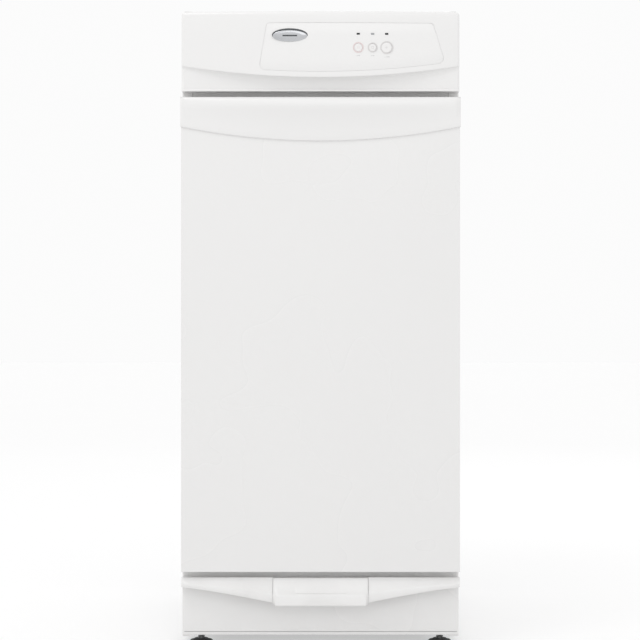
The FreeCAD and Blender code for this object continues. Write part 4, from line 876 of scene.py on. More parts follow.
def panel_plate(name, inset, forward, depth, rim):
    """The control panel's outline as a bowed plate: from forward of the face to a depth behind it."""
    top = CONSOLE_HIGH.z - PANEL_DROP - inset
    corner = PANEL_CORNER
    columns = 64
    outlines = []
    for index in range(columns + 1):
        share = 0.5 - 0.5 * math.cos(math.pi * index / columns)
        low_x = PANEL_LEFT[0] + inset + (PANEL_RIGHT[0] - PANEL_LEFT[0] - 2 * inset) * share
        high_x = PANEL_LEFT[1] + inset + (PANEL_RIGHT[1] - PANEL_LEFT[1] - 2 * inset) * share
        low_z = arc_height(low_x, HALF, sizes().smile_ends, sizes().smile_middle) + PANEL_LIFT + inset
        reach = min(low_x - PANEL_LEFT[0] - inset, PANEL_RIGHT[0] - inset - low_x)
        nip = corner - math.sqrt(max(corner ** 2 - max(corner - reach, 0) ** 2, 0))
        outlines.append(((low_x, low_z + nip), (high_x, top - nip * 0.5)))
    rows = []
    for across in (0, 0.25, 0.5, 0.75, 1):
        rows.append([(a[0] + (b[0] - a[0]) * across, a[1] + (b[1] - a[1]) * across) for a, b in outlines])
    deselect()
    bpy.ops.mesh.primitive_grid_add(x_subdivisions=columns, y_subdivisions=len(rows) - 1)
    piece = bpy.context.object
    piece.name = name
    width = columns + 1
    for index, vertex in enumerate(piece.data.vertices):
        x, z = rows[index // width][index % width]
        vertex.co = (x, console_face(x) + depth, z)
    activate(piece)
    bpy.ops.object.mode_set(mode="EDIT")
    bpy.ops.mesh.select_all(action="SELECT")
    bpy.ops.mesh.extrude_region_move(TRANSFORM_OT_translate={"value": (0, -(forward + depth), 0)})
    bpy.ops.mesh.select_all(action="SELECT")
    bpy.ops.mesh.remove_doubles(threshold=1e-7)
    bpy.ops.mesh.normals_make_consistent(inside=False)
    bpy.ops.object.mode_set(mode="OBJECT")
    return bevelled(piece, rim, 2, 40) if rim else piece


def glyph(name, centre, strokes, face_y):
    """A tiny printed mark made of short round-ended bars."""
    bars = []
    for (x0, z0), (x1, z1) in strokes:
        start = (centre[0] + x0 * MM, face_y, centre[1] + z0 * MM)
        end = (centre[0] + x1 * MM, face_y, centre[1] + z1 * MM)
        bars.append(tube(name, [start, end], 0.17 * MM, 8, smooth=False))
    return joined(name, bars)


class COMPACTOR_OT_controls(bpy.types.Operator):
    """The inset control panel with its rings, buttons, lights and blank oval badge"""
    bl_idname = "compactor.controls"
    bl_label = "Controls"

    def execute(self, context):
        places = [("left", 7.3 * MM, "ring_blush"), ("middle", 6.8 * MM, "ring_grey"),
                  ("right", 8.8 * MM, "ring_grey")]
        plate = panel_plate("control_panel", 0.35 * MM, -0.25 * MM, 0.55 * MM, 0.12 * MM)
        paint(plate, "control_film")
        parts = []
        square = [(-1.5, -1.5), (1.5, -1.5), (1.5, 1.5), (-1.5, 1.5)]
        marks = {"left": [((-1.2, -1.6), (-1.2, 1.6)), ((1.2, -1.6), (1.2, 1.6))],
                 "middle": list(zip(square, square[1:] + square[:1])),
                 "right": [((-2.0, 0), (2.0, 0)), ((0, -2.0), (0, 2.0))]}
        for side, radius, ring_kind in places:
            low, high = span(side + "_button")
            x, z = (low.x + high.x) / 2, (low.z + high.z) / 2
            face = console_face(x)
            plate = without(plate, drum("hole", "Y", (x, face - 5 * MM, z), radius, 10 * MM, 64))
            ring = spun("ring", "Y", (x, face, z), [
                (radius, 1.5 * MM), (radius, -0.1 * MM), (radius - 0.15 * MM, -0.28 * MM),
                (radius - 0.6 * MM, -0.34 * MM), (radius - 1.3 * MM, -0.2 * MM),
                (radius - 1.5 * MM, 0.1 * MM),
                (radius - 1.5 * MM, 1.5 * MM)], 72)
            parts.append(paint(ring, ring_kind))
            cap_radius = radius - 1.8 * MM
            cap = spun(side + "_push_button", "Y", (x, face, z), [
                (0, 4.5 * MM), (cap_radius, 4.5 * MM), (cap_radius, 0.25 * MM),
                (cap_radius - 0.2 * MM, -0.02 * MM),
                (cap_radius - 0.6 * MM, -0.10 * MM), (cap_radius * 0.6, -0.02 * MM), (0, 0.05 * MM)], 72)
            paint(cap, "button_plastic")
            mark = paint(glyph("mark", (x, z), marks[side], face), ring_kind)
            fitted(joined(side + "_push_button", [cap, mark]), "button_" + side,
                   (side + "_button",))
            label_z = z - (11.1 if side != "right" else 12.7) * MM
            width = 2.3 if side != "right" else 4.2
            dashes = [((-width, 0), (-width * 0.35, 0)), ((-width * 0.1, 0), (width, 0))]
            label = glyph("label", (x, label_z), dashes, console_face(x) + 0.25 * MM)
            parts.append(paint(label, "print_ink"))
        parts.insert(0, plate)
        fitted(joined("control_panel", parts), "cabinet", ("control_overlay",))
        lenses = []
        low, high = span("indicator_lenses")
        middle = (low.z + high.z) / 2
        for side, radius, ring_kind in places:
            button_low, button_high = span(side + "_button")
            x = (button_low.x + button_high.x) / 2
            lens = slab("lens", (x - 2.3 * MM, console_face(x) - 0.15 * MM, middle - 1.3 * MM),
                        (x + 2.3 * MM, console_face(x) + 4 * MM, middle + 1.3 * MM), 0.45 * MM, 3)
            lenses.append(paint(lens, "pale_lens" if side == "middle" else "smoked_lens"))
        fitted(joined("indicator_windows", lenses), "cabinet", ("indicator_lenses",))
        self.badge()
        return {"FINISHED"}

    def badge(self):
        """A blank oval: a dark rim showing as a crescent of painted shade above a pale domed face, and a
        plain raised bar.
        """
        low, high = span("badge")
        centre = (low + high) / 2
        half_x, half_z = (high.x - low.x) / 2, (high.z - low.z) / 2
        face = console_face(centre.x) + 0.4 * MM

        def oval(scale_x, scale_z, y):
            return [(centre.x + half_x * scale_x * math.cos(a), face + y,
                     centre.z + half_z * scale_z * math.sin(a))
                    for a in (2 * math.pi * step / 96 for step in range(96))]
        # the pale face sits lower than this dark rim, so the rim shows only along the top as painted shade
        rim = laddered("badge_rim", [
            oval(1.0, 1.0, 0.3 * MM), oval(1.0, 1.0, -0.5 * MM), oval(0.99, 0.97, -0.75 * MM),
            oval(0.97, 0.93, -0.8 * MM)])
        paint(rim, "badge_dark")
        plate = laddered("badge_face", [
            [(x, y, z - drop) for x, y, z in oval(wide, tall, depth)] for wide, tall, depth, drop in (
                (0.975, 0.86, -0.5 * MM, 1.25 * MM), (0.97, 0.85, -0.85 * MM, 1.25 * MM),
                (0.93, 0.76, -1.15 * MM, 1.1 * MM), (0.6, 0.5, -1.3 * MM, 0.6 * MM),
                (0.3, 0.25, -1.35 * MM, 0.3 * MM))])
        paint(plate, "badge_chrome")
        bar = slab("badge_bar", (centre.x - 10 * MM, face - 1.6 * MM, centre.z - 1.9 * MM),
                   (centre.x + 10 * MM, face - 1.0 * MM, centre.z + 0.1 * MM), 0.18 * MM)
        paint(bar, "badge_dark")
        fitted(joined("oval_badge", [rim, plate, bar]), "cabinet", ("badge",))


class COMPACTOR_OT_drawer_front(bpy.types.Operator):
    """The drawer's enamelled steel front, its liner, and the smile-shaped handle"""
    bl_idname = "compactor.drawer_front"
    bl_label = "Drawer front"

    def execute(self, context):
        low, high = span("drawer_front_panel")
        pan = slab("drawer_pan", low, high)
        pan = inset_and_push(pan, lambda f: f.normal.y > 0.9, 1.2 * MM, (0, 0, 0))
        selected_faces(pan, lambda f: f.normal.y > 0.9 and abs(f.calc_center_median().x) < 1 * MM
                       and f.calc_area() > 0.1)
        hollow = (0, -(high.y - low.y) + 1.2 * MM, 0)
        bpy.ops.mesh.extrude_region_move(TRANSFORM_OT_translate={"value": hollow})
        bpy.ops.object.mode_set(mode="OBJECT")
        pan = bevelled(pan, 2.2 * MM, 4, 60)
        fitted(pan, "drawer", ("drawer_front_panel",), "enamel", 30)
        back_low, back_high = span("drawer_liner")
        back_low.y = back_high.y - 2 * MM
        liner = slab("drawer_back_sheet", back_low, back_high)

        def inner_field(face):
            central = abs(face.calc_center_median().x) < 1 * MM
            return central and face.normal.y > 0.9 and face.calc_area() > 0.12
        for inset, push in ((16 * MM, 0), (3 * MM, -0.8 * MM), (3 * MM, 0)):
            liner = inset_and_push(liner, inner_field, inset, (0, push, 0))
        fitted(liner, "drawer", ("drawer_liner",), "liner_enamel", 30)
        self.handle()
        return {"FINISHED"}

    def handle(self):
        """Rows run down the handle's face from behind its top edge to the curved lower edge."""
        low, high = span("drawer_handle")
        half, top = high.x, high.z
        face = span("drawer_front_panel")[0].y
        crest = low.y
        ends = top - 40.6 * MM
        step_out = sizes().handle_rise

        def lower(x):
            return arc_height(x, half, ends, low.z)

        def front(x):
            return arc_height(x, half, face - 4.4 * MM, crest + 0.3 * MM)
        loops = []
        for x in spaced(-half, half, 81):
            reach = front(x)
            edge_low = lower(x)
            depth = face - reach
            shoulder = min(1.0, (half - abs(x)) / (3.0 * MM))
            round_off = 1 - math.sqrt(max(0.0, 1 - (1 - shoulder) ** 2))
            pull = round_off * 3.0 * MM
            loop = [(x, face + 21.9 * MM, top - 2 * MM), (x, face + 21.9 * MM, top - 0.4 * MM),
                    (x, face + 21.2 * MM, top)]
            loop += [(x, face - depth * 0.16, top), (x, face - depth * 0.44 + pull * 0.5, top - 0.5 * MM),
                     (x, face - depth * 0.70 + pull, top - 1.9 * MM),
                     (x, face - depth * 0.86 + pull, top - 4.0 * MM),
                     (x, face - depth * 0.95 + pull, top - 6.6 * MM), (x, reach + pull, top - 10.5 * MM),
                     (x, reach + 0.2 * MM + pull, top - 14 * MM)]
            body_top, body_low = top - 14 * MM, edge_low + 2.2 * MM
            start_y, end_y = reach + 0.2 * MM, face - step_out
            for share in (0.12, 0.28, 0.46, 0.64, 0.82, 1.0):
                curve = 1 - (1 - share) ** 1.7
                loop.append((x, start_y + (end_y - start_y) * curve + pull * (1 - share),
                             body_top + (body_low - body_top) * share))
            loop += [(x, end_y + 0.5 * MM, edge_low + 0.7 * MM), (x, end_y + 1.4 * MM, edge_low + 0.1 * MM),
                     (x, face + 0.1 * MM, edge_low), (x, face + 0.1 * MM, top - 2 * MM)]
            loops.append(loop)
        piece = laddered("smile_handle", loops)
        fitted(piece, "drawer", ("drawer_handle",), "moulding", 32)


# where the toe parts lie behind their faces, and the pedal's pin (y, z)
TOE_BACK = -277 * MM
PAD_BACK = -279 * MM
PEDAL_PIN = (-245 * MM, 84 * MM)
NOTCH_HALF, NOTCH_TOP = 78 * MM, 66 * MM
TOE_LUG_BACK, TOE_LUG_LOW, TOE_LUG_HIGH = -258 * MM, 20 * MM, 34 * MM


class COMPACTOR_OT_toe(bpy.types.Operator):
    """The sloped toe bar, the foot pedal and the toe panel"""
    bl_idname = "compactor.toe"
    bl_label = "Toe bar and pedal"

    def execute(self, context):
        self.bar()
        self.pedal()
        self.panel()
        return {"FINISHED"}

    def bar(self):
        low, high = span("toe_bar")
        half = high.x
        gap = span("foot_pedal")[1].x + 0.45 * MM
        top = span("toe_panel")[1].z + 4.5 * MM
        back, face = TOE_BACK, low.y
        ends, middle = top - 13 * MM, low.z

        def column(x, notch):
            share = (abs(x) - gap) / (half - gap)
            bottom = middle + (ends - middle) * (1 - (1 - share) ** 1.25)
            crease = (top - 21 * MM) + 13.5 * MM * share ** 0.8
            shoulder = min(1.0, (half - abs(x)) / (2.5 * MM))
            pull = (1 - math.sqrt(max(0.0, 1 - (1 - shoulder) ** 2))) * 2.5 * MM
            reach = face + 3.5 * MM * share + pull
            wall = 2.2 * MM
            if notch:
                return [(x, back + 2 * MM, top - 9 * MM), (x, back + 2 * MM, top),
                        (x, back - 0.6 * MM, top - 0.2 * MM), (x, back - 1.2 * MM, top - 1.2 * MM),
                        (x, back - 1.2 * MM, top - 9 * MM)]
            return [(x, back, top - 1.2 * MM), (x, back - 1.0 * MM, top - 0.2 * MM),
                    (x, back - 10.0 * MM, top), (x, back - 11.4 * MM, top - (top - crease) * 0.16),
                    (x, reach + 2.0 * MM, crease + 1.6 * MM), (x, reach + 0.5 * MM, crease + 0.4 * MM),
                    (x, reach, crease - 0.9 * MM), (x, reach + 0.3 * MM, (crease + bottom) / 2),
                    (x, reach + 0.9 * MM, bottom + 0.9 * MM), (x, reach + 1.6 * MM, bottom),
                    (x, reach + wall + 0.6 * MM, bottom + 0.4 * MM),
                    (x, reach + wall, crease - 2.6 * MM), (x, back, crease - 2.6 * MM)]
        pieces = []
        for side in (-1, 1):
            xs = [side * (gap + (half - gap) * share) for share in spaced(0, 1, 34)]
            pieces.append(laddered("wing", [column(x, False) for x in xs]))
        bridge = [column(x, True) for x in spaced(-gap - 0.5 * MM, gap + 0.5 * MM, 9)]
        pieces.append(laddered("bridge", bridge))
        for x in (-130 * MM, 106 * MM):
            pieces.append(slab("tie", (x, back - 2.5 * MM, top - 5 * MM), (x + 24 * MM, high.y, top - 1 * MM),
                               0.6 * MM))
        pieces.append(slab("flange", (10 * MM - half, high.y - 2 * MM, top - 5 * MM),
                           (half - 10 * MM, high.y, high.z), 0.5 * MM))
        fitted(joined("toe_bar_moulding", pieces), "drawer", ("toe_bar",), "moulding", 38)

    def pedal(self):
        low, high = span("foot_pedal")
        half, face = high.x, low.y
        top, bottom = span("toe_bar")[1].z - 9.7 * MM, low.z
        back = PAD_BACK
        loops = []
        for x in spaced(-half, half, 41):
            shoulder = min(1.0, (half - abs(x)) / (5.0 * MM))
            ease = 1 - math.sqrt(max(0.0, 1 - (1 - shoulder) ** 2))
            dish = 0.8 * MM * (1 - (x / half) ** 2)
            pull, lift = ease * 4.0 * MM, ease * 3.5 * MM
            loops.append([
                (x, back, top - 2.5 * MM), (x, back, top - 0.6 * MM), (x, back - 0.8 * MM, top),
                (x, back - 9.5 * MM, top - 0.5 * MM), (x, back - 15.5 * MM + dish, top - 10.0 * MM - dish),
                (x, face + 4 * MM + pull * 0.5 + dish, bottom + 18.6 * MM - dish),
                (x, face + 1.2 * MM + pull, bottom + 16.4 * MM), (x, face + pull, bottom + 13.8 * MM),
                (x, face + pull, bottom + 5 * MM + lift),
                (x, face + 0.5 * MM + pull, bottom + 1.8 * MM + lift),
                (x, face + 2.2 * MM + pull, bottom + 0.3 * MM + lift),
                (x, face + 4 * MM + pull, bottom + lift),
                (x, face + 6 * MM + pull, bottom + 1.0 * MM + lift), (x, back, bottom + 8 * MM)])
        pieces = [laddered("pad", loops)]
        pin_y, pin_z = PEDAL_PIN
        for side in (-1, 1):
            x0, x1 = sorted((side * (half - 14 * MM), side * (half - 4 * MM)))
            pieces.append(slab("arm", (x0, back - 2 * MM, pin_z - 6 * MM), (x1, pin_y, pin_z - 2 * MM),
                               0.8 * MM))
            pieces.append(slab("rib", ((x0 + x1) / 2 - 1 * MM, back, pin_z - 10 * MM),
                               ((x0 + x1) / 2 + 1 * MM, pin_y - 4 * MM, pin_z - 4 * MM), 0.4 * MM))
            hub = drum("hub", "X", (x0, pin_y, pin_z), 6 * MM, x1 - x0, 40, 0.5 * MM)
            bore = drum("bore", "X", (x0 - 1 * MM, pin_y, pin_z), 3.1 * MM, x1 - x0 + 2 * MM, 32)
            pieces.append(without(hub, bore))
        fitted(joined("foot_pedal_pad", pieces), "pedal", ("foot_pedal",), "moulding", 38)

    def panel(self):
        low, high = span("toe_panel")
        face = low.y
        outline = [(low.x, low.z + SHEET), (high.x, low.z + SHEET), (high.x, high.z), (NOTCH_HALF, high.z),
                   (NOTCH_HALF, NOTCH_TOP), (-NOTCH_HALF, NOTCH_TOP), (-NOTCH_HALF, high.z), (low.x, high.z)]
        plate = laddered("toe_sheet", [[(x, y, z) for x, z in outline] for y in (face, face + SHEET)])
        plate = bevelled(plate, 0.4 * MM, 2, 40)
        fold = low.z + 1.7 * MM

        def hem(x):
            """The rolled lower edge in section at x."""
            curl = [(x, face + 0.2 * MM + 1.6 * MM * (1 - math.cos(a)), fold - 1.7 * MM * math.sin(a))
                    for a in spaced(0, math.pi, 9)]
            return curl + [(x, face + 1.9 * MM, fold), (x, face + 1.5 * MM, fold)]
        roll = laddered("toe_hem", [hem(low.x), hem(high.x)])
        bead = slab("bead", (low.x + 2 * MM, face, low.z + 4.2 * MM),
                    (high.x - 2 * MM, face + 0.4 * MM, low.z + 5.0 * MM), 0.15 * MM)
        lugs = [slab("lug", (x, face + SHEET, TOE_LUG_LOW), (x + 20 * MM, TOE_LUG_BACK, TOE_LUG_HIGH),
                     0.5 * MM) for x in (low.x, high.x - 20 * MM)]
        fitted(joined("toe_plate", [plate, roll, bead] + lugs), "cabinet", ("toe_panel",),
               "enamel", 35)


# --------------------------------------------------------------- outer sheets

# heads of the screws in the side panels
SIDE_SCREW_Y = (-228 * MM, 262 * MM)
SIDE_SCREW_Z = (46 * MM, 430 * MM, 838 * MM)
GLAND_HEIGHT = 90 * MM


class COMPACTOR_OT_cabinet(bpy.types.Operator):
    """Side panels, top cover and rear panel with their folded edges and screws"""
    bl_idname = "compactor.cabinet"
    bl_label = "Cabinet"

    def execute(self, context):
        for side, sign in (("left", -1), ("right", 1)):
            self.side(side, sign)
        self.top()
        self.rear()
        return {"FINISHED"}

    def side(self, side, sign):
        low, high = span(side + "_side_panel")
        flange = 14 * MM
        outer, inner = (low.x, low.x + SHEET) if sign < 0 else (high.x, high.x - SHEET)
        lip = outer - sign * flange
        bend = 2.0 * MM

        def corner(x, y, toward_x, toward_y, radius):
            """Points of a rounded fold between two walls."""
            return [(x + toward_x * radius * (1 - math.sin(a)), y + toward_y * radius * (1 - math.cos(a)))
                    for a in spaced(0, math.pi / 2, 5)]
        front = corner(outer, low.y, -sign, 1, bend)
        back = corner(outer, high.y, -sign, -1, bend)[::-1]
        front_in = corner(inner, low.y + SHEET, -sign, 1, bend - SHEET * 0.5)
        back_in = corner(inner, high.y - SHEET, -sign, -1, bend - SHEET * 0.5)
        outline = [(lip, low.y + SHEET), (lip, low.y)] + front + back
        outline += [(lip, high.y), (lip, high.y - SHEET)] + back_in + front_in[::-1]
        piece = laddered(side + "_side_sheet", [[(x, y, z) for x, y in outline] for z in (low.z, high.z)])
        heads = []
        for y in SIDE_SCREW_Y:
            for z in SIDE_SCREW_Z:
                heads.append(paint(self.side_screw(outer, sign, y, z), "galvanised"))
        paint(piece, "enamel")
        piece = joined(side + "_side_sheet", [piece] + heads)
        fitted(piece, "cabinet", (side + "_side_panel",), angle=40)

    def side_screw(self, outer, sign, y, z):
        """A round head with a cross recess, standing a little proud of a side panel."""
        start = outer + sign * 0.6 * MM
        near, far = sorted((start, start - sign * 0.6 * MM))
        root = min(start, outer - sign * 1.0 * MM)
        head = drum("head", "X", (root, y, z), 4.2 * MM, 1.6 * MM, 24, 0.5 * MM)
        arms = [slab("slot", (near, y - wide, z - tall), (far + 0.1 * MM, y + wide, z + tall))
                for wide, tall in ((2.6 * MM, 0.45 * MM), (0.45 * MM, 2.6 * MM))]
        return without(head, *arms)

    def top(self):
        low, high = span("top_cover")
        cover = slab("roof_sheet", low, high)
        middle = (low.y + high.y) / 2

        def inner_field(face):
            centre = face.calc_center_median()
            return (face.normal.z > 0.9 and face.calc_area() > 0.1 and centre.z > high.z - 0.1 * MM
                    and len(face.verts) == 4 and abs(centre.x) < 1 * MM and abs(centre.y - middle) < 1 * MM)
        cover = inset_and_push(cover, lambda face: face.normal.z > 0.9, 26 * MM, (0, 0, 0))
        cover = inset_and_push(cover, inner_field, 3 * MM, (0, 0, -1.0 * MM))
        cover = bevelled(cover, 0.8 * MM, 3, 25)
        fitted(cover, "cabinet", ("top_cover",), "enamel", 35)

    def rear(self):
        low, high = span("rear_panel")
        sheet = slab("rear_sheet", low, high, 0.4 * MM)
        fan_z = (span("fan_impeller")[0].z + span("fan_impeller")[1].z) / 2
        gland_x = span("clips_and_cord_gland")[0].x + 14 * MM
        cutters = [drum("gland_hole", "Y", (gland_x, low.y - 5 * MM, GLAND_HEIGHT), 11 * MM, 20 * MM, 40)]
        for row in range(-4, 5):
            rise = row * 8 * MM
            reach = math.sqrt(max((34 * MM) ** 2 - rise ** 2, 0))
            if reach > 6 * MM:
                cutters.append(slab("vent", (-reach, low.y - 5 * MM, fan_z + rise - 1.8 * MM),
                                    (reach, high.y + 5 * MM, fan_z + rise + 1.8 * MM), 1.2 * MM, 3))
        sheet = without(sheet, joined("cuts", cutters))
        fitted(sheet, "cabinet", ("rear_panel",), "galvanised", 35)
        screws = []
        spread_x = high.x - 7 * MM
        screw_low, screw_high = span("rear_panel_screws")
        for z in (60 * MM, 320 * MM, 580 * MM, screw_high.z - 4 * MM):
            for x in (-spread_x, spread_x):
                screws.append(self.screw_head((x, screw_low.y, z), 4 * MM, 2 * MM))
        fitted(joined("rear_sheet_screws", screws), "cabinet", ("rear_panel_screws",),
               "turned_steel", 35)

    def screw_head(self, place, radius, height):
        """A round pan head with a cross recess, facing the back."""
        x, y, z = place
        head = spun("pan_head", "Y", place, [
            (0, 0), (radius, 0), (radius, height * 0.35), (radius * 0.92, height * 0.6),
            (radius * 0.6, height * 0.92), (0, height)], 24)
        arms = [slab("arm", (x - a, y + height * 0.45, z - b), (x + a, y + height * 1.4, z + b))
                for a, b in ((radius * 0.55, radius * 0.13), (radius * 0.13, radius * 0.55))]
        return without(head, *arms)


# --------------------------------------------------------------- bin and drawer

# the bin's outer walls, as in the frame
BIN_LEFT, BIN_FRONT, BIN_BACK = -118 * MM, -262 * MM, 148 * MM


class COMPACTOR_OT_bin(bpy.types.Operator):
    """The painted bin with its ribs and rolled rim, and the hinged side"""
    bl_idname = "compactor.bin"
    bl_label = "Bin"

    def execute(self, context):
        low, high = span("container")
        side_low, side_high = span("container_side_panel")
        left, right, front, back = BIN_LEFT, side_low.x, BIN_FRONT, BIN_BACK
        floor, rim = low.z, high.z
        shell = slab("shell", (left, front, floor), (right + 2 * MM, back, rim))
        shell = without(shell, slab("void", (left + SHEET, front + SHEET, floor + SHEET),
                                    (right + 8 * MM, back - SHEET, rim + 8 * MM)))
        ribs = []
        for z in spaced(floor + 60 * MM, rim - 60 * MM, 5):
            ribs.append(slab("rib", (left - 1.2 * MM, front + 20 * MM, z - 5 * MM),
                             (left + 0.5 * MM, back - 20 * MM, z + 5 * MM), 1.1 * MM, 3))
        for x in (-70 * MM, 0, 70 * MM):
            ribs.append(slab("rib", (x - 5 * MM, back - 0.5 * MM, floor + 30 * MM),
                             (x + 5 * MM, back + 1.6 * MM, rim - 30 * MM), 1.3 * MM, 3))
        roll, proud = 2.4 * MM, 0.6 * MM
        corners = ((right - 2 * MM, front - proud), (left - proud, front - proud),
                   (left - proud, back + proud), (right - 2 * MM, back + proud))
        edge = tube("rim", [(x, y, rim - roll) for x, y in corners], roll, 12, smooth=False)
        rivets = [drum("bead", "X", (left - 1 * MM, y, floor + 8 * MM), 4 * MM, 2 * MM, 24, 0.5 * MM)
                  for y in (-200 * MM, 90 * MM)]
        bin_piece = joined("waste_bin", [shell] + ribs + [edge] + rivets)
        fitted(bin_piece, "drawer", ("container",), "bin_paint", 35)
        self.side(side_low, side_high)
        return {"FINISHED"}

    def side(self, low, high):
        x0, x1 = low.x, low.x + 2 * MM
        sheet = slab("sheet", (x0, low.y, low.z), (x1, high.y, high.z), 0.5 * MM)
        parts = [sheet]
        for z in spaced(low.z + 60 * MM, high.z - 60 * MM, 5):
            parts.append(slab("rib", (x1 - 0.5 * MM, low.y + 20 * MM, z - 5 * MM),
                              (x1 + 1.4 * MM, high.y - 20 * MM, z + 5 * MM), 1.2 * MM, 3))
        parts.append(slab("rim", (x0, low.y, high.z - 6 * MM), (high.x, high.y, high.z), 1.6 * MM, 4))
        parts.append(slab("foot", (x0, low.y + 8 * MM, low.z), (high.x, high.y - 8 * MM, low.z + 8 * MM),
                          2.4 * MM, 4))
        for y in (low.y, high.y - 8 * MM):
            parts.append(slab("edge", (x0, y, low.z + 2 * MM), (high.x - 1.5 * MM, y + 8 * MM, high.z),
                              1.5 * MM, 3))
        fitted(joined("hinged_bin_side", parts), "bin_side", ("container_side_panel",),
               "bin_paint", 35)


# --------------------------------------------------------------- press and drive

class COMPACTOR_OT_press(bpy.types.Operator):
    """The press head's plate with its rows of teeth"""
    bl_idname = "compactor.press"
    bl_label = "Press head"

    def execute(self, context):
        low, high = span("ram_plate")
        plate = slab("plate", low, high, 1.2 * MM, 3)
        studs = []
        for x in spaced(low.x + 22 * MM, high.x - 22 * MM, 5):
            for y in spaced(low.y + 30 * MM, high.y - 30 * MM, 8):
                studs.append(drum("tooth", "Z", (x, y, low.z), 6 * MM, 1.2 * MM, 16, 0.4 * MM))
        fitted(joined("press_plate", [plate] + studs), "ram", ("ram_plate",), "press_paint", 35)
        return {"FINISHED"}


SCREW_RADIUS, SCREW_ROOT, THREAD_LOW = 8 * MM, 6.9 * MM, 100 * MM
SPROCKET_BOTTOM, SPROCKET_THICK = 34 * MM, 4 * MM


class COMPACTOR_OT_screws(bpy.types.Operator):
    """The two power screws with real rolled threads, their sprockets and lock nuts"""
    bl_idname = "compactor.screws"
    bl_label = "Power screws"

    def execute(self, context):
        for side in ("left", "right"):
            node = side + "_power_screw"
            low, high = span(node)
            x, y = (low.x + high.x) / 2, (low.y + high.y) / 2
            radius, root, lead = SCREW_RADIUS, SCREW_ROOT, sizes().screw_lead
            parts = [threaded("thread", (x, y), THREAD_LOW, high.z - 26 * MM, radius, root, lead,
                              trapezoid, 20, 10),
                     spun("journal", "Z", (x, y, 0), [
                         (0, high.z), (root - 1 * MM, high.z), (root, high.z - 1 * MM),
                         (root, high.z - 27 * MM), (0, high.z - 27 * MM)], 32),
                     spun("journal", "Z", (x, y, 0), [
                         (0, low.z), (root - 1 * MM, low.z), (root + 0.3 * MM, low.z + 1 * MM),
                         (root + 0.3 * MM, THREAD_LOW + 1 * MM), (0, THREAD_LOW + 1 * MM)], 32)]
            parts += toothed_wheel((x, y), SPROCKET_BOTTOM, SPROCKET_THICK, radius - 0.5 * MM)
            for part in parts:
                paint(part, "rolled_thread")
            nut = drum("lock_nut", "Z", (x, y, low.z + 2 * MM), 12 * MM, 8 * MM, 6, 0.8 * MM)
            parts.append(paint(nut, "galvanised"))
            collar_z = high.z - 22 * MM
            collar = drum("collar", "Z", (x, y, collar_z), radius + 2 * MM, 5 * MM, 40, 0.6 * MM)
            parts.append(paint(collar, "turned_steel"))
            fitted(joined(side + "_threaded_screw", parts), side + "_screw", (node,),
                   angle=40)
        return {"FINISHED"}


def trapezoid(phase):
    """How far a power screw's flank stands out at a share of its turn."""
    return min(1.0, max(0.0, (0.36 - abs(phase - 0.5)) / 0.16))


def vee(phase):
    """How far a leg's sharp flank stands out at a share of its turn."""
    return 1 - abs(phase - 0.5) * 2


def threaded(name, centre, low, high, radius, root, lead, flank, around, per_turn):
    """A screw thread: rings of points that climb as they turn."""
    count = int((high - low) / lead * per_turn)
    loops = []
    for step in range(count + 1):
        z = low + (high - low) * step / count
        loop = []
        for index in range(around):
            angle = 2 * math.pi * index / around
            phase = (z / lead - angle / (2 * math.pi)) % 1.0
            reach = root + (radius - root) * flank(phase)
            loop.append((centre[0] + reach * math.cos(angle), centre[1] + reach * math.sin(angle), z))
        loops.append(loop)
    return laddered(name, loops)


def toothed_wheel(centre, bottom, thick, bore):
    """A chain sprocket: an outline with round roots, extruded and chamfered."""
    points = []
    for tooth in range(SPROCKET_TEETH):
        start = 2 * math.pi * tooth / SPROCKET_TEETH
        for share, reach in ((0.0, -3.1), (0.12, -2.7), (0.24, -1.2), (0.36, 1.6), (0.44, 3.3), (0.5, 3.8),
                             (0.56, 3.3), (0.64, 1.6), (0.76, -1.2), (0.88, -2.7)):
            angle = start + share * 2 * math.pi / SPROCKET_TEETH
            radius = SPROCKET_RADIUS + reach * MM
            points.append((centre[0] + radius * math.cos(angle), centre[1] + radius * math.sin(angle)))
    wheel = laddered("wheel", [[(x, y, z) for x, y in points] for z in (bottom, bottom + thick)])
    wheel = bevelled(wheel, 0.35 * MM, 1, 50)
    hub = spun("hub", "Z", (centre[0], centre[1], bottom), [
        (bore, -3 * MM), (bore + 4 * MM, -3 * MM), (bore + 4.6 * MM, -2.4 * MM), (bore + 4.6 * MM, 0.2 * MM),
        (bore, 0.2 * MM)], 32)
    return [wheel, hub]


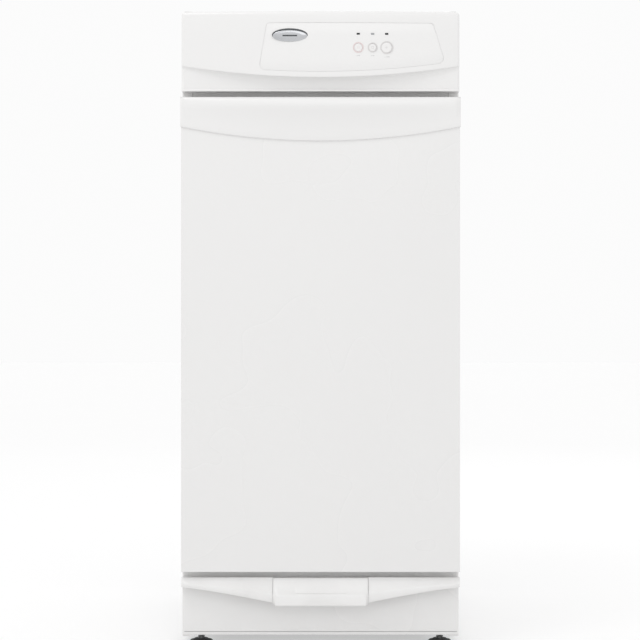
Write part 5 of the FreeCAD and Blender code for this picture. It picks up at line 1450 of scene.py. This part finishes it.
class COMPACTOR_OT_chain(bpy.types.Operator):
    """The roller chain round the two screws and the gear shaft"""
    bl_idname = "compactor.chain"
    bl_label = "Drive chain"

    def execute(self, context):
        wheels = []
        for node in ("left_power_screw", "right_power_screw", "drive_sprocket"):
            low, high = span(node)
            wheels.append(Vector(((low.x + high.x) / 2, (low.y + high.y) / 2, 0)))
        path, length = self.route(wheels, SPROCKET_RADIUS)
        low, high = span("drive_chain")
        middle = (low.z + high.z) / 2
        count = int(length / CHAIN_PITCH) // 2 * 2
        link = self.link(length / count)
        pieces = []
        for index in range(count):
            place, heading = self.at(path, length * index / count)
            piece = copied(link, "link", (place.x, place.y, middle), ("Z", heading))
            if index % 2:
                piece.data.transform(self.narrower(place, middle))
            pieces.append(piece)
        bpy.data.objects.remove(link, do_unlink=True)
        fitted(joined("roller_chain", pieces), "cabinet", ("drive_chain",), "oiled_steel", 40)
        return {"FINISHED"}

    def narrower(self, place, middle):
        """Every second link is lower, so that it passes inside its neighbours."""
        there = Matrix.Translation((place.x, place.y, middle))
        return there @ Matrix.Diagonal((1, 1, 0.72, 1)) @ there.inverted()

    def link(self, pitch):
        """Two side plates with rounded ends and straight sides, and a roller at one end."""
        outline = []
        for reach, centre in ((3.6 * MM, pitch), (-3.6 * MM, 0)):
            for angle in spaced(-math.pi / 2, math.pi / 2, 5):
                outline.append((centre + reach * math.cos(angle), reach * math.sin(angle)))
        parts = [laddered("plate", [[(x, y, z) for x, y in outline] for z in (level, level + 0.7 * MM)])
                 for level in (-2.9 * MM, 2.2 * MM)]
        parts.append(drum("roller", "Z", (0, 0, -2.3 * MM), 2.5 * MM, 4.6 * MM, 10))
        return joined("link", parts)

    def route(self, wheels, radius):
        """Straight runs and arcs round the outside of the wheels, anticlockwise."""
        middle = sum(wheels, Vector()) / len(wheels)
        order = sorted(wheels, key=lambda w: math.atan2(w.y - middle.y, w.x - middle.x))
        pieces = []
        count = len(order)
        for index, wheel in enumerate(order):
            before, after = order[index - 1], order[(index + 1) % count]
            into, out = (wheel - before).normalized(), (after - wheel).normalized()
            start_angle = math.atan2(into.y, into.x) - math.pi / 2
            end_angle = math.atan2(out.y, out.x) - math.pi / 2
            sweep = (end_angle - start_angle) % (2 * math.pi)
            pieces.append(("arc", wheel, start_angle, radius * sweep))
            normal = Vector((math.cos(end_angle), math.sin(end_angle), 0)) * radius
            pieces.append(("run", wheel + normal, after + normal, (after - wheel).length))
        return pieces, sum(piece[-1] for piece in pieces)

    def at(self, path, distance):
        """The place and heading at a distance along the route."""
        radius = SPROCKET_RADIUS
        for kind, first, second, span_length in path:
            if distance > span_length:
                distance -= span_length
                continue
            if kind == "run":
                direction = (second - first).normalized()
                return first + direction * distance, math.atan2(direction.y, direction.x)
            angle = second + distance / radius
            return first + Vector((math.cos(angle), math.sin(angle), 0)) * radius, angle + math.pi / 2
        return path[0][1], 0.0


class COMPACTOR_OT_motor(bpy.types.Operator):
    """The motor's ribbed housing and vented end bell"""
    bl_idname = "compactor.motor"
    bl_label = "Motor"

    def execute(self, context):
        low, high = span("motor_housing")
        x, y = (low.x + high.x) / 2, (low.y + high.y) / 2
        radius = (high.x - low.x) / 2
        fins = 36
        outline = []
        steps = fins * 4
        for index in range(steps):
            angle = 2 * math.pi * index / steps
            reach = radius - (0.2 * MM if index % 4 in (0, 1) else 3.2 * MM)
            outline.append((x + reach * math.cos(angle), y + reach * math.sin(angle)))
        base = low.z + 10 * MM
        top = high.z - 22 * MM
        stator = laddered("stator", [[(px, py, z) for px, py in outline] for z in (base, top)])
        stator = bevelled(stator, 0.3 * MM, 1, 60)
        bell = spun("end_bell", "Z", (x, y, 0), [
            (0, high.z), (12 * MM, high.z), (14 * MM, high.z - 1.5 * MM), (15 * MM, high.z - 5 * MM),
            (radius - 12 * MM, high.z - 8 * MM), (radius - 4 * MM, high.z - 11 * MM),
            (radius - 0.6 * MM, high.z - 16 * MM), (radius - 0.6 * MM, top - 2 * MM), (0, top - 2 * MM)], 72)
        foot = spun("foot", "Z", (x, y, 0), [
            (0, low.z), (radius - 2 * MM, low.z), (radius - 0.4 * MM, low.z + 1.6 * MM),
            (radius - 0.4 * MM, base + 2 * MM), (0, base + 2 * MM)], 72)
        vents = []
        for index in range(12):
            angle = 2 * math.pi * index / 12
            vent = slab("vent", (x + 20 * MM, y - 2.2 * MM, high.z - 14 * MM),
                        (x + 38 * MM, y + 2.2 * MM, high.z + 2 * MM), 2 * MM, 3)
            vents.append(copied(vent, "vent", turn=("Z", angle), pivot=(x, y, 0)))
            bpy.data.objects.remove(vent, do_unlink=True)
        bell = without(bell, joined("vents", vents))
        for part in (stator, foot):
            paint(part, "motor_paint")
        paint(bell, "galvanised")
        fitted(joined("finned_motor", [stator, foot, bell]), "cabinet", ("motor_housing",),
               angle=40)
        return {"FINISHED"}


# --------------------------------------------------------------- small pieces

class COMPACTOR_OT_feet(bpy.types.Operator):
    """Levelling legs with cut threads and feet with two flats, and the rear rollers"""
    bl_idname = "compactor.feet"
    bl_label = "Legs and rollers"

    def execute(self, context):
        for side in ("left", "right"):
            node = side + "_levelling_leg"
            low, high = span(node)
            x, y = (low.x + high.x) / 2, (low.y + high.y) / 2
            radius = high.x - x
            foot = spun("foot", "Z", (x, y, 0), [
                (0, 0), (radius - 1 * MM, 0), (radius, 1 * MM), (radius, 2.4 * MM),
                (radius - 1.6 * MM, 4 * MM), (radius - 6 * MM, 5 * MM), (9 * MM, 6 * MM), (0, 6 * MM)], 48)
            flats = []
            for sign in (-1, 1):
                flat_y = y + sign * (radius - 0.8 * MM)
                near, far = sorted((flat_y, flat_y + sign * 6 * MM))
                flats.append(slab("flat", (x - 30 * MM, near, -1 * MM), (x + 30 * MM, far, 4 * MM)))
            foot = without(foot, *flats)
            paint(foot, "foot_plastic")
            stud = threaded("stud", (x, y), 5.5 * MM, high.z, 5 * MM, 4.2 * MM, 1.5 * MM, vee, 14, 6)
            paint(stud, "rolled_thread")
            fitted(joined(side + "_threaded_leg", [foot, stud]), "leg_" + side, (node,),
                   angle=40)
        low, high = span("transport_rollers")
        wheel_radius = (high.z - low.z) / 2
        y, z = (low.y + high.y) / 2, (low.z + high.z) / 2
        wheels = []
        width = 18 * MM
        for start in (low.x, high.x - width):
            side = [(4.2 * MM, 1 * MM), (7 * MM, 1 * MM), (7.6 * MM, 2.2 * MM),
                    (wheel_radius - 3 * MM, 2.2 * MM), (wheel_radius - 2.2 * MM, 0.4 * MM),
                    (wheel_radius - 0.8 * MM, 0.4 * MM), (wheel_radius, 1.4 * MM)]
            other = [(radius, width - height) for radius, height in reversed(side)]
            wheels.append(spun("wheel", "X", (start, y, z), side + other, 48))
        fitted(joined("rear_wheels", wheels), "transport_roller_pair", ("transport_rollers",),
               "nylon", 35)
        return {"FINISHED"}


class COMPACTOR_OT_filter(bpy.types.Operator):
    """The pleated charcoal pack"""
    bl_idname = "compactor.filter"
    bl_label = "Charcoal filter"

    def execute(self, context):
        low, high = span("charcoal_filter")
        pleats = 20
        front, back = [], []
        for index in range(pleats * 2 + 1):
            x = low.x + (high.x - low.x) * index / (pleats * 2)
            front.append((x, low.y + (4 * MM if index % 2 else 0.6 * MM)))
            back.append((x, high.y - (0.6 * MM if index % 2 else 4 * MM)))
        outline = front + back[::-1]
        pack = laddered("pack", [[(x, y, z) for x, y in outline] for z in (low.z + 1 * MM, high.z - 1 * MM)])
        paint(pack, "fleece")
        fitted(joined("charcoal_pack", [pack]), "cabinet", ("charcoal_filter",), angle=20)
        return {"FINISHED"}


NODE_FINISHES = {
    "liner_enamel": ("console_bracket",),
    "galvanised": ("base_frame", "base_hardware", "drawer_catch", "drawer_screws_and_strike",
                   "lower_frame", "upper_frame", "motor_mount", "pedal_brackets", "filter_housing",
                   "latch_lever", "container_pins"),
    "rail_paint": ("drawer_frame", "drawer_tracks"),
    "press_paint": ("ram_body", "ram_crossbeam"),
    "nylon": ("front_rollers", "rear_rollers", "ram_glides"),
    "bronze": ("power_nuts", "shaft_bearings"),
    "turned_steel": ("motor_shaft", "drive_sprocket"),
    "oiled_steel": ("drive_gear",),
    "spring_steel": ("pedal_spring",),
    "black_plastic": ("switches", "clips_and_cord_gland", "fan_impeller"),
    "motor_paint": ("fan_motor",),
    "circuit_lacquer": ("control_board",),
    "loom_tape": ("wiring_harness",),
}


class COMPACTOR_OT_frame_finishes(bpy.types.Operator):
    """Finishes for the frame's own nodes: sheet steel, castings, rollers, gears and wiring"""
    bl_idname = "compactor.frame_finishes"
    bl_label = "Frame finishes"

    def execute(self, context):
        for kind, nodes in NODE_FINISHES.items():
            for name in nodes:
                node = bpy.data.objects[name]
                for slot in node.material_slots:
                    slot.link = "OBJECT"
                    slot.material = finish_of(kind)
        return {"FINISHED"}


# --------------------------------------------------------------- stage

CAMERA_AT = (-0.0007, -3.297, 0.446)
CAMERA_LENS = 124
FLOOR_TONE = 0.46
FLOOR_GLOW = 0.48
SURROUND_STRENGTH = 0.97

# name, place, aim, size and power of each lamp
LAMPS = (
    ("overhead_softbox", (-0.9, -1.6, 3.0), (0, -0.2, 0.5), 1.2, 12),
    ("front_fill", (0.4, -4.2, 2.6), (0, -0.25, 0.4), 1.8, 7),
    ("left_fill", (-2.8, -1.4, 1.6), (0, 0, 0.4), 1.8, 2),
    ("rear_fill", (1.0, 3.2, 2.4), (0, 0, 0.4), 2.2, 6))


def plain_surface(name, colour, roughness):
    """A matt studio surface with a trace of tone variation."""
    material, tree, shader, place = start_material(name)
    cloudy = noise(tree, place, 1.2, 2.0)
    tone = mixed(tree, cloudy, colour, tuple(channel * 0.985 for channel in colour))
    tree.links.new(tone, shader.inputs["Base Color"])
    shader.inputs["Roughness"].default_value = roughness
    return material


class COMPACTOR_OT_stage(bpy.types.Operator):
    """A pale floor, soft studio lights, a plain white surround and the camera"""
    bl_idname = "compactor.stage"
    bl_label = "Stage"

    def execute(self, context):
        deselect()
        bpy.ops.mesh.primitive_plane_add(size=40, location=(0, 0, 0))
        floor = context.object
        floor.name = "studio_floor"
        settle(floor)
        surface = plain_surface("studio_floor", (FLOOR_TONE,) * 3, 0.8)
        glow = surface.node_tree.nodes["Principled BSDF"]
        glow.inputs["Emission Color"].default_value = (1, 1, 1, 1)
        glow.inputs["Emission Strength"].default_value = FLOOR_GLOW
        floor.data.materials.append(surface)
        world = bpy.data.worlds.new("studio_surround")
        world.use_nodes = True
        surround = world.node_tree.nodes["Background"]
        surround.inputs["Color"].default_value = (1, 1, 1, 1)
        surround.inputs["Strength"].default_value = SURROUND_STRENGTH
        context.scene.world = world
        for name, place, aim, size, power in LAMPS:
            lamp = bpy.data.lights.new(name, "AREA")
            lamp.shape = "DISK"
            lamp.size = size
            lamp.energy = power
            holder = bpy.data.objects.new(name, lamp)
            holder.location = place
            holder.rotation_euler = (Vector(aim) - Vector(place)).to_track_quat("-Z", "Y").to_euler()
            context.collection.objects.link(holder)
        camera = bpy.data.cameras.new("studio_camera")
        camera.lens = CAMERA_LENS
        camera.sensor_width = 36
        holder = bpy.data.objects.new("studio_camera", camera)
        holder.location = CAMERA_AT
        holder.rotation_euler = (math.pi / 2, 0, 0)
        context.collection.objects.link(holder)
        context.scene.camera = holder
        context.scene.view_settings.view_transform = "Standard"
        return {"FINISHED"}


# --------------------------------------------------------------- panel and main

PIECES = (
    COMPACTOR_OT_console,
    COMPACTOR_OT_controls,
    COMPACTOR_OT_drawer_front,
    COMPACTOR_OT_toe,
    COMPACTOR_OT_cabinet,
    COMPACTOR_OT_bin,
    COMPACTOR_OT_press,
    COMPACTOR_OT_screws,
    COMPACTOR_OT_chain,
    COMPACTOR_OT_motor,
    COMPACTOR_OT_feet,
    COMPACTOR_OT_filter,
    COMPACTOR_OT_frame_finishes,
    COMPACTOR_OT_stage)


class COMPACTOR_PT_sidebar(bpy.types.Panel):
    """Lists the sizes, the colours and an operator for each group of pieces"""
    bl_label = "Trash compactor"
    bl_idname = "COMPACTOR_PT_sidebar"
    bl_space_type = "VIEW_3D"
    bl_region_type = "UI"
    bl_category = "Compactor"

    def draw(self, context):
        layout = self.layout
        for settings in (sizes(), colours()):
            for label in settings.__annotations__:
                layout.prop(settings, label)
        for operator in PIECES:
            layout.operator(operator.bl_idname)


CLASSES = (CompactorSizes, CompactorColours) + PIECES + (COMPACTOR_PT_sidebar,)


def register():
    for kind in CLASSES:
        bpy.utils.register_class(kind)
    bpy.types.Scene.compactor_sizes = PointerProperty(type=CompactorSizes)
    bpy.types.Scene.compactor_colours = PointerProperty(type=CompactorColours)


def unregister():
    del bpy.types.Scene.compactor_colours
    del bpy.types.Scene.compactor_sizes
    for kind in reversed(CLASSES):
        bpy.utils.unregister_class(kind)


def main():
    register()
    for operator in PIECES:
        group, name = operator.bl_idname.split(".")
        getattr(getattr(bpy.ops, group), name)()


if __name__ == "__main__":
    main()
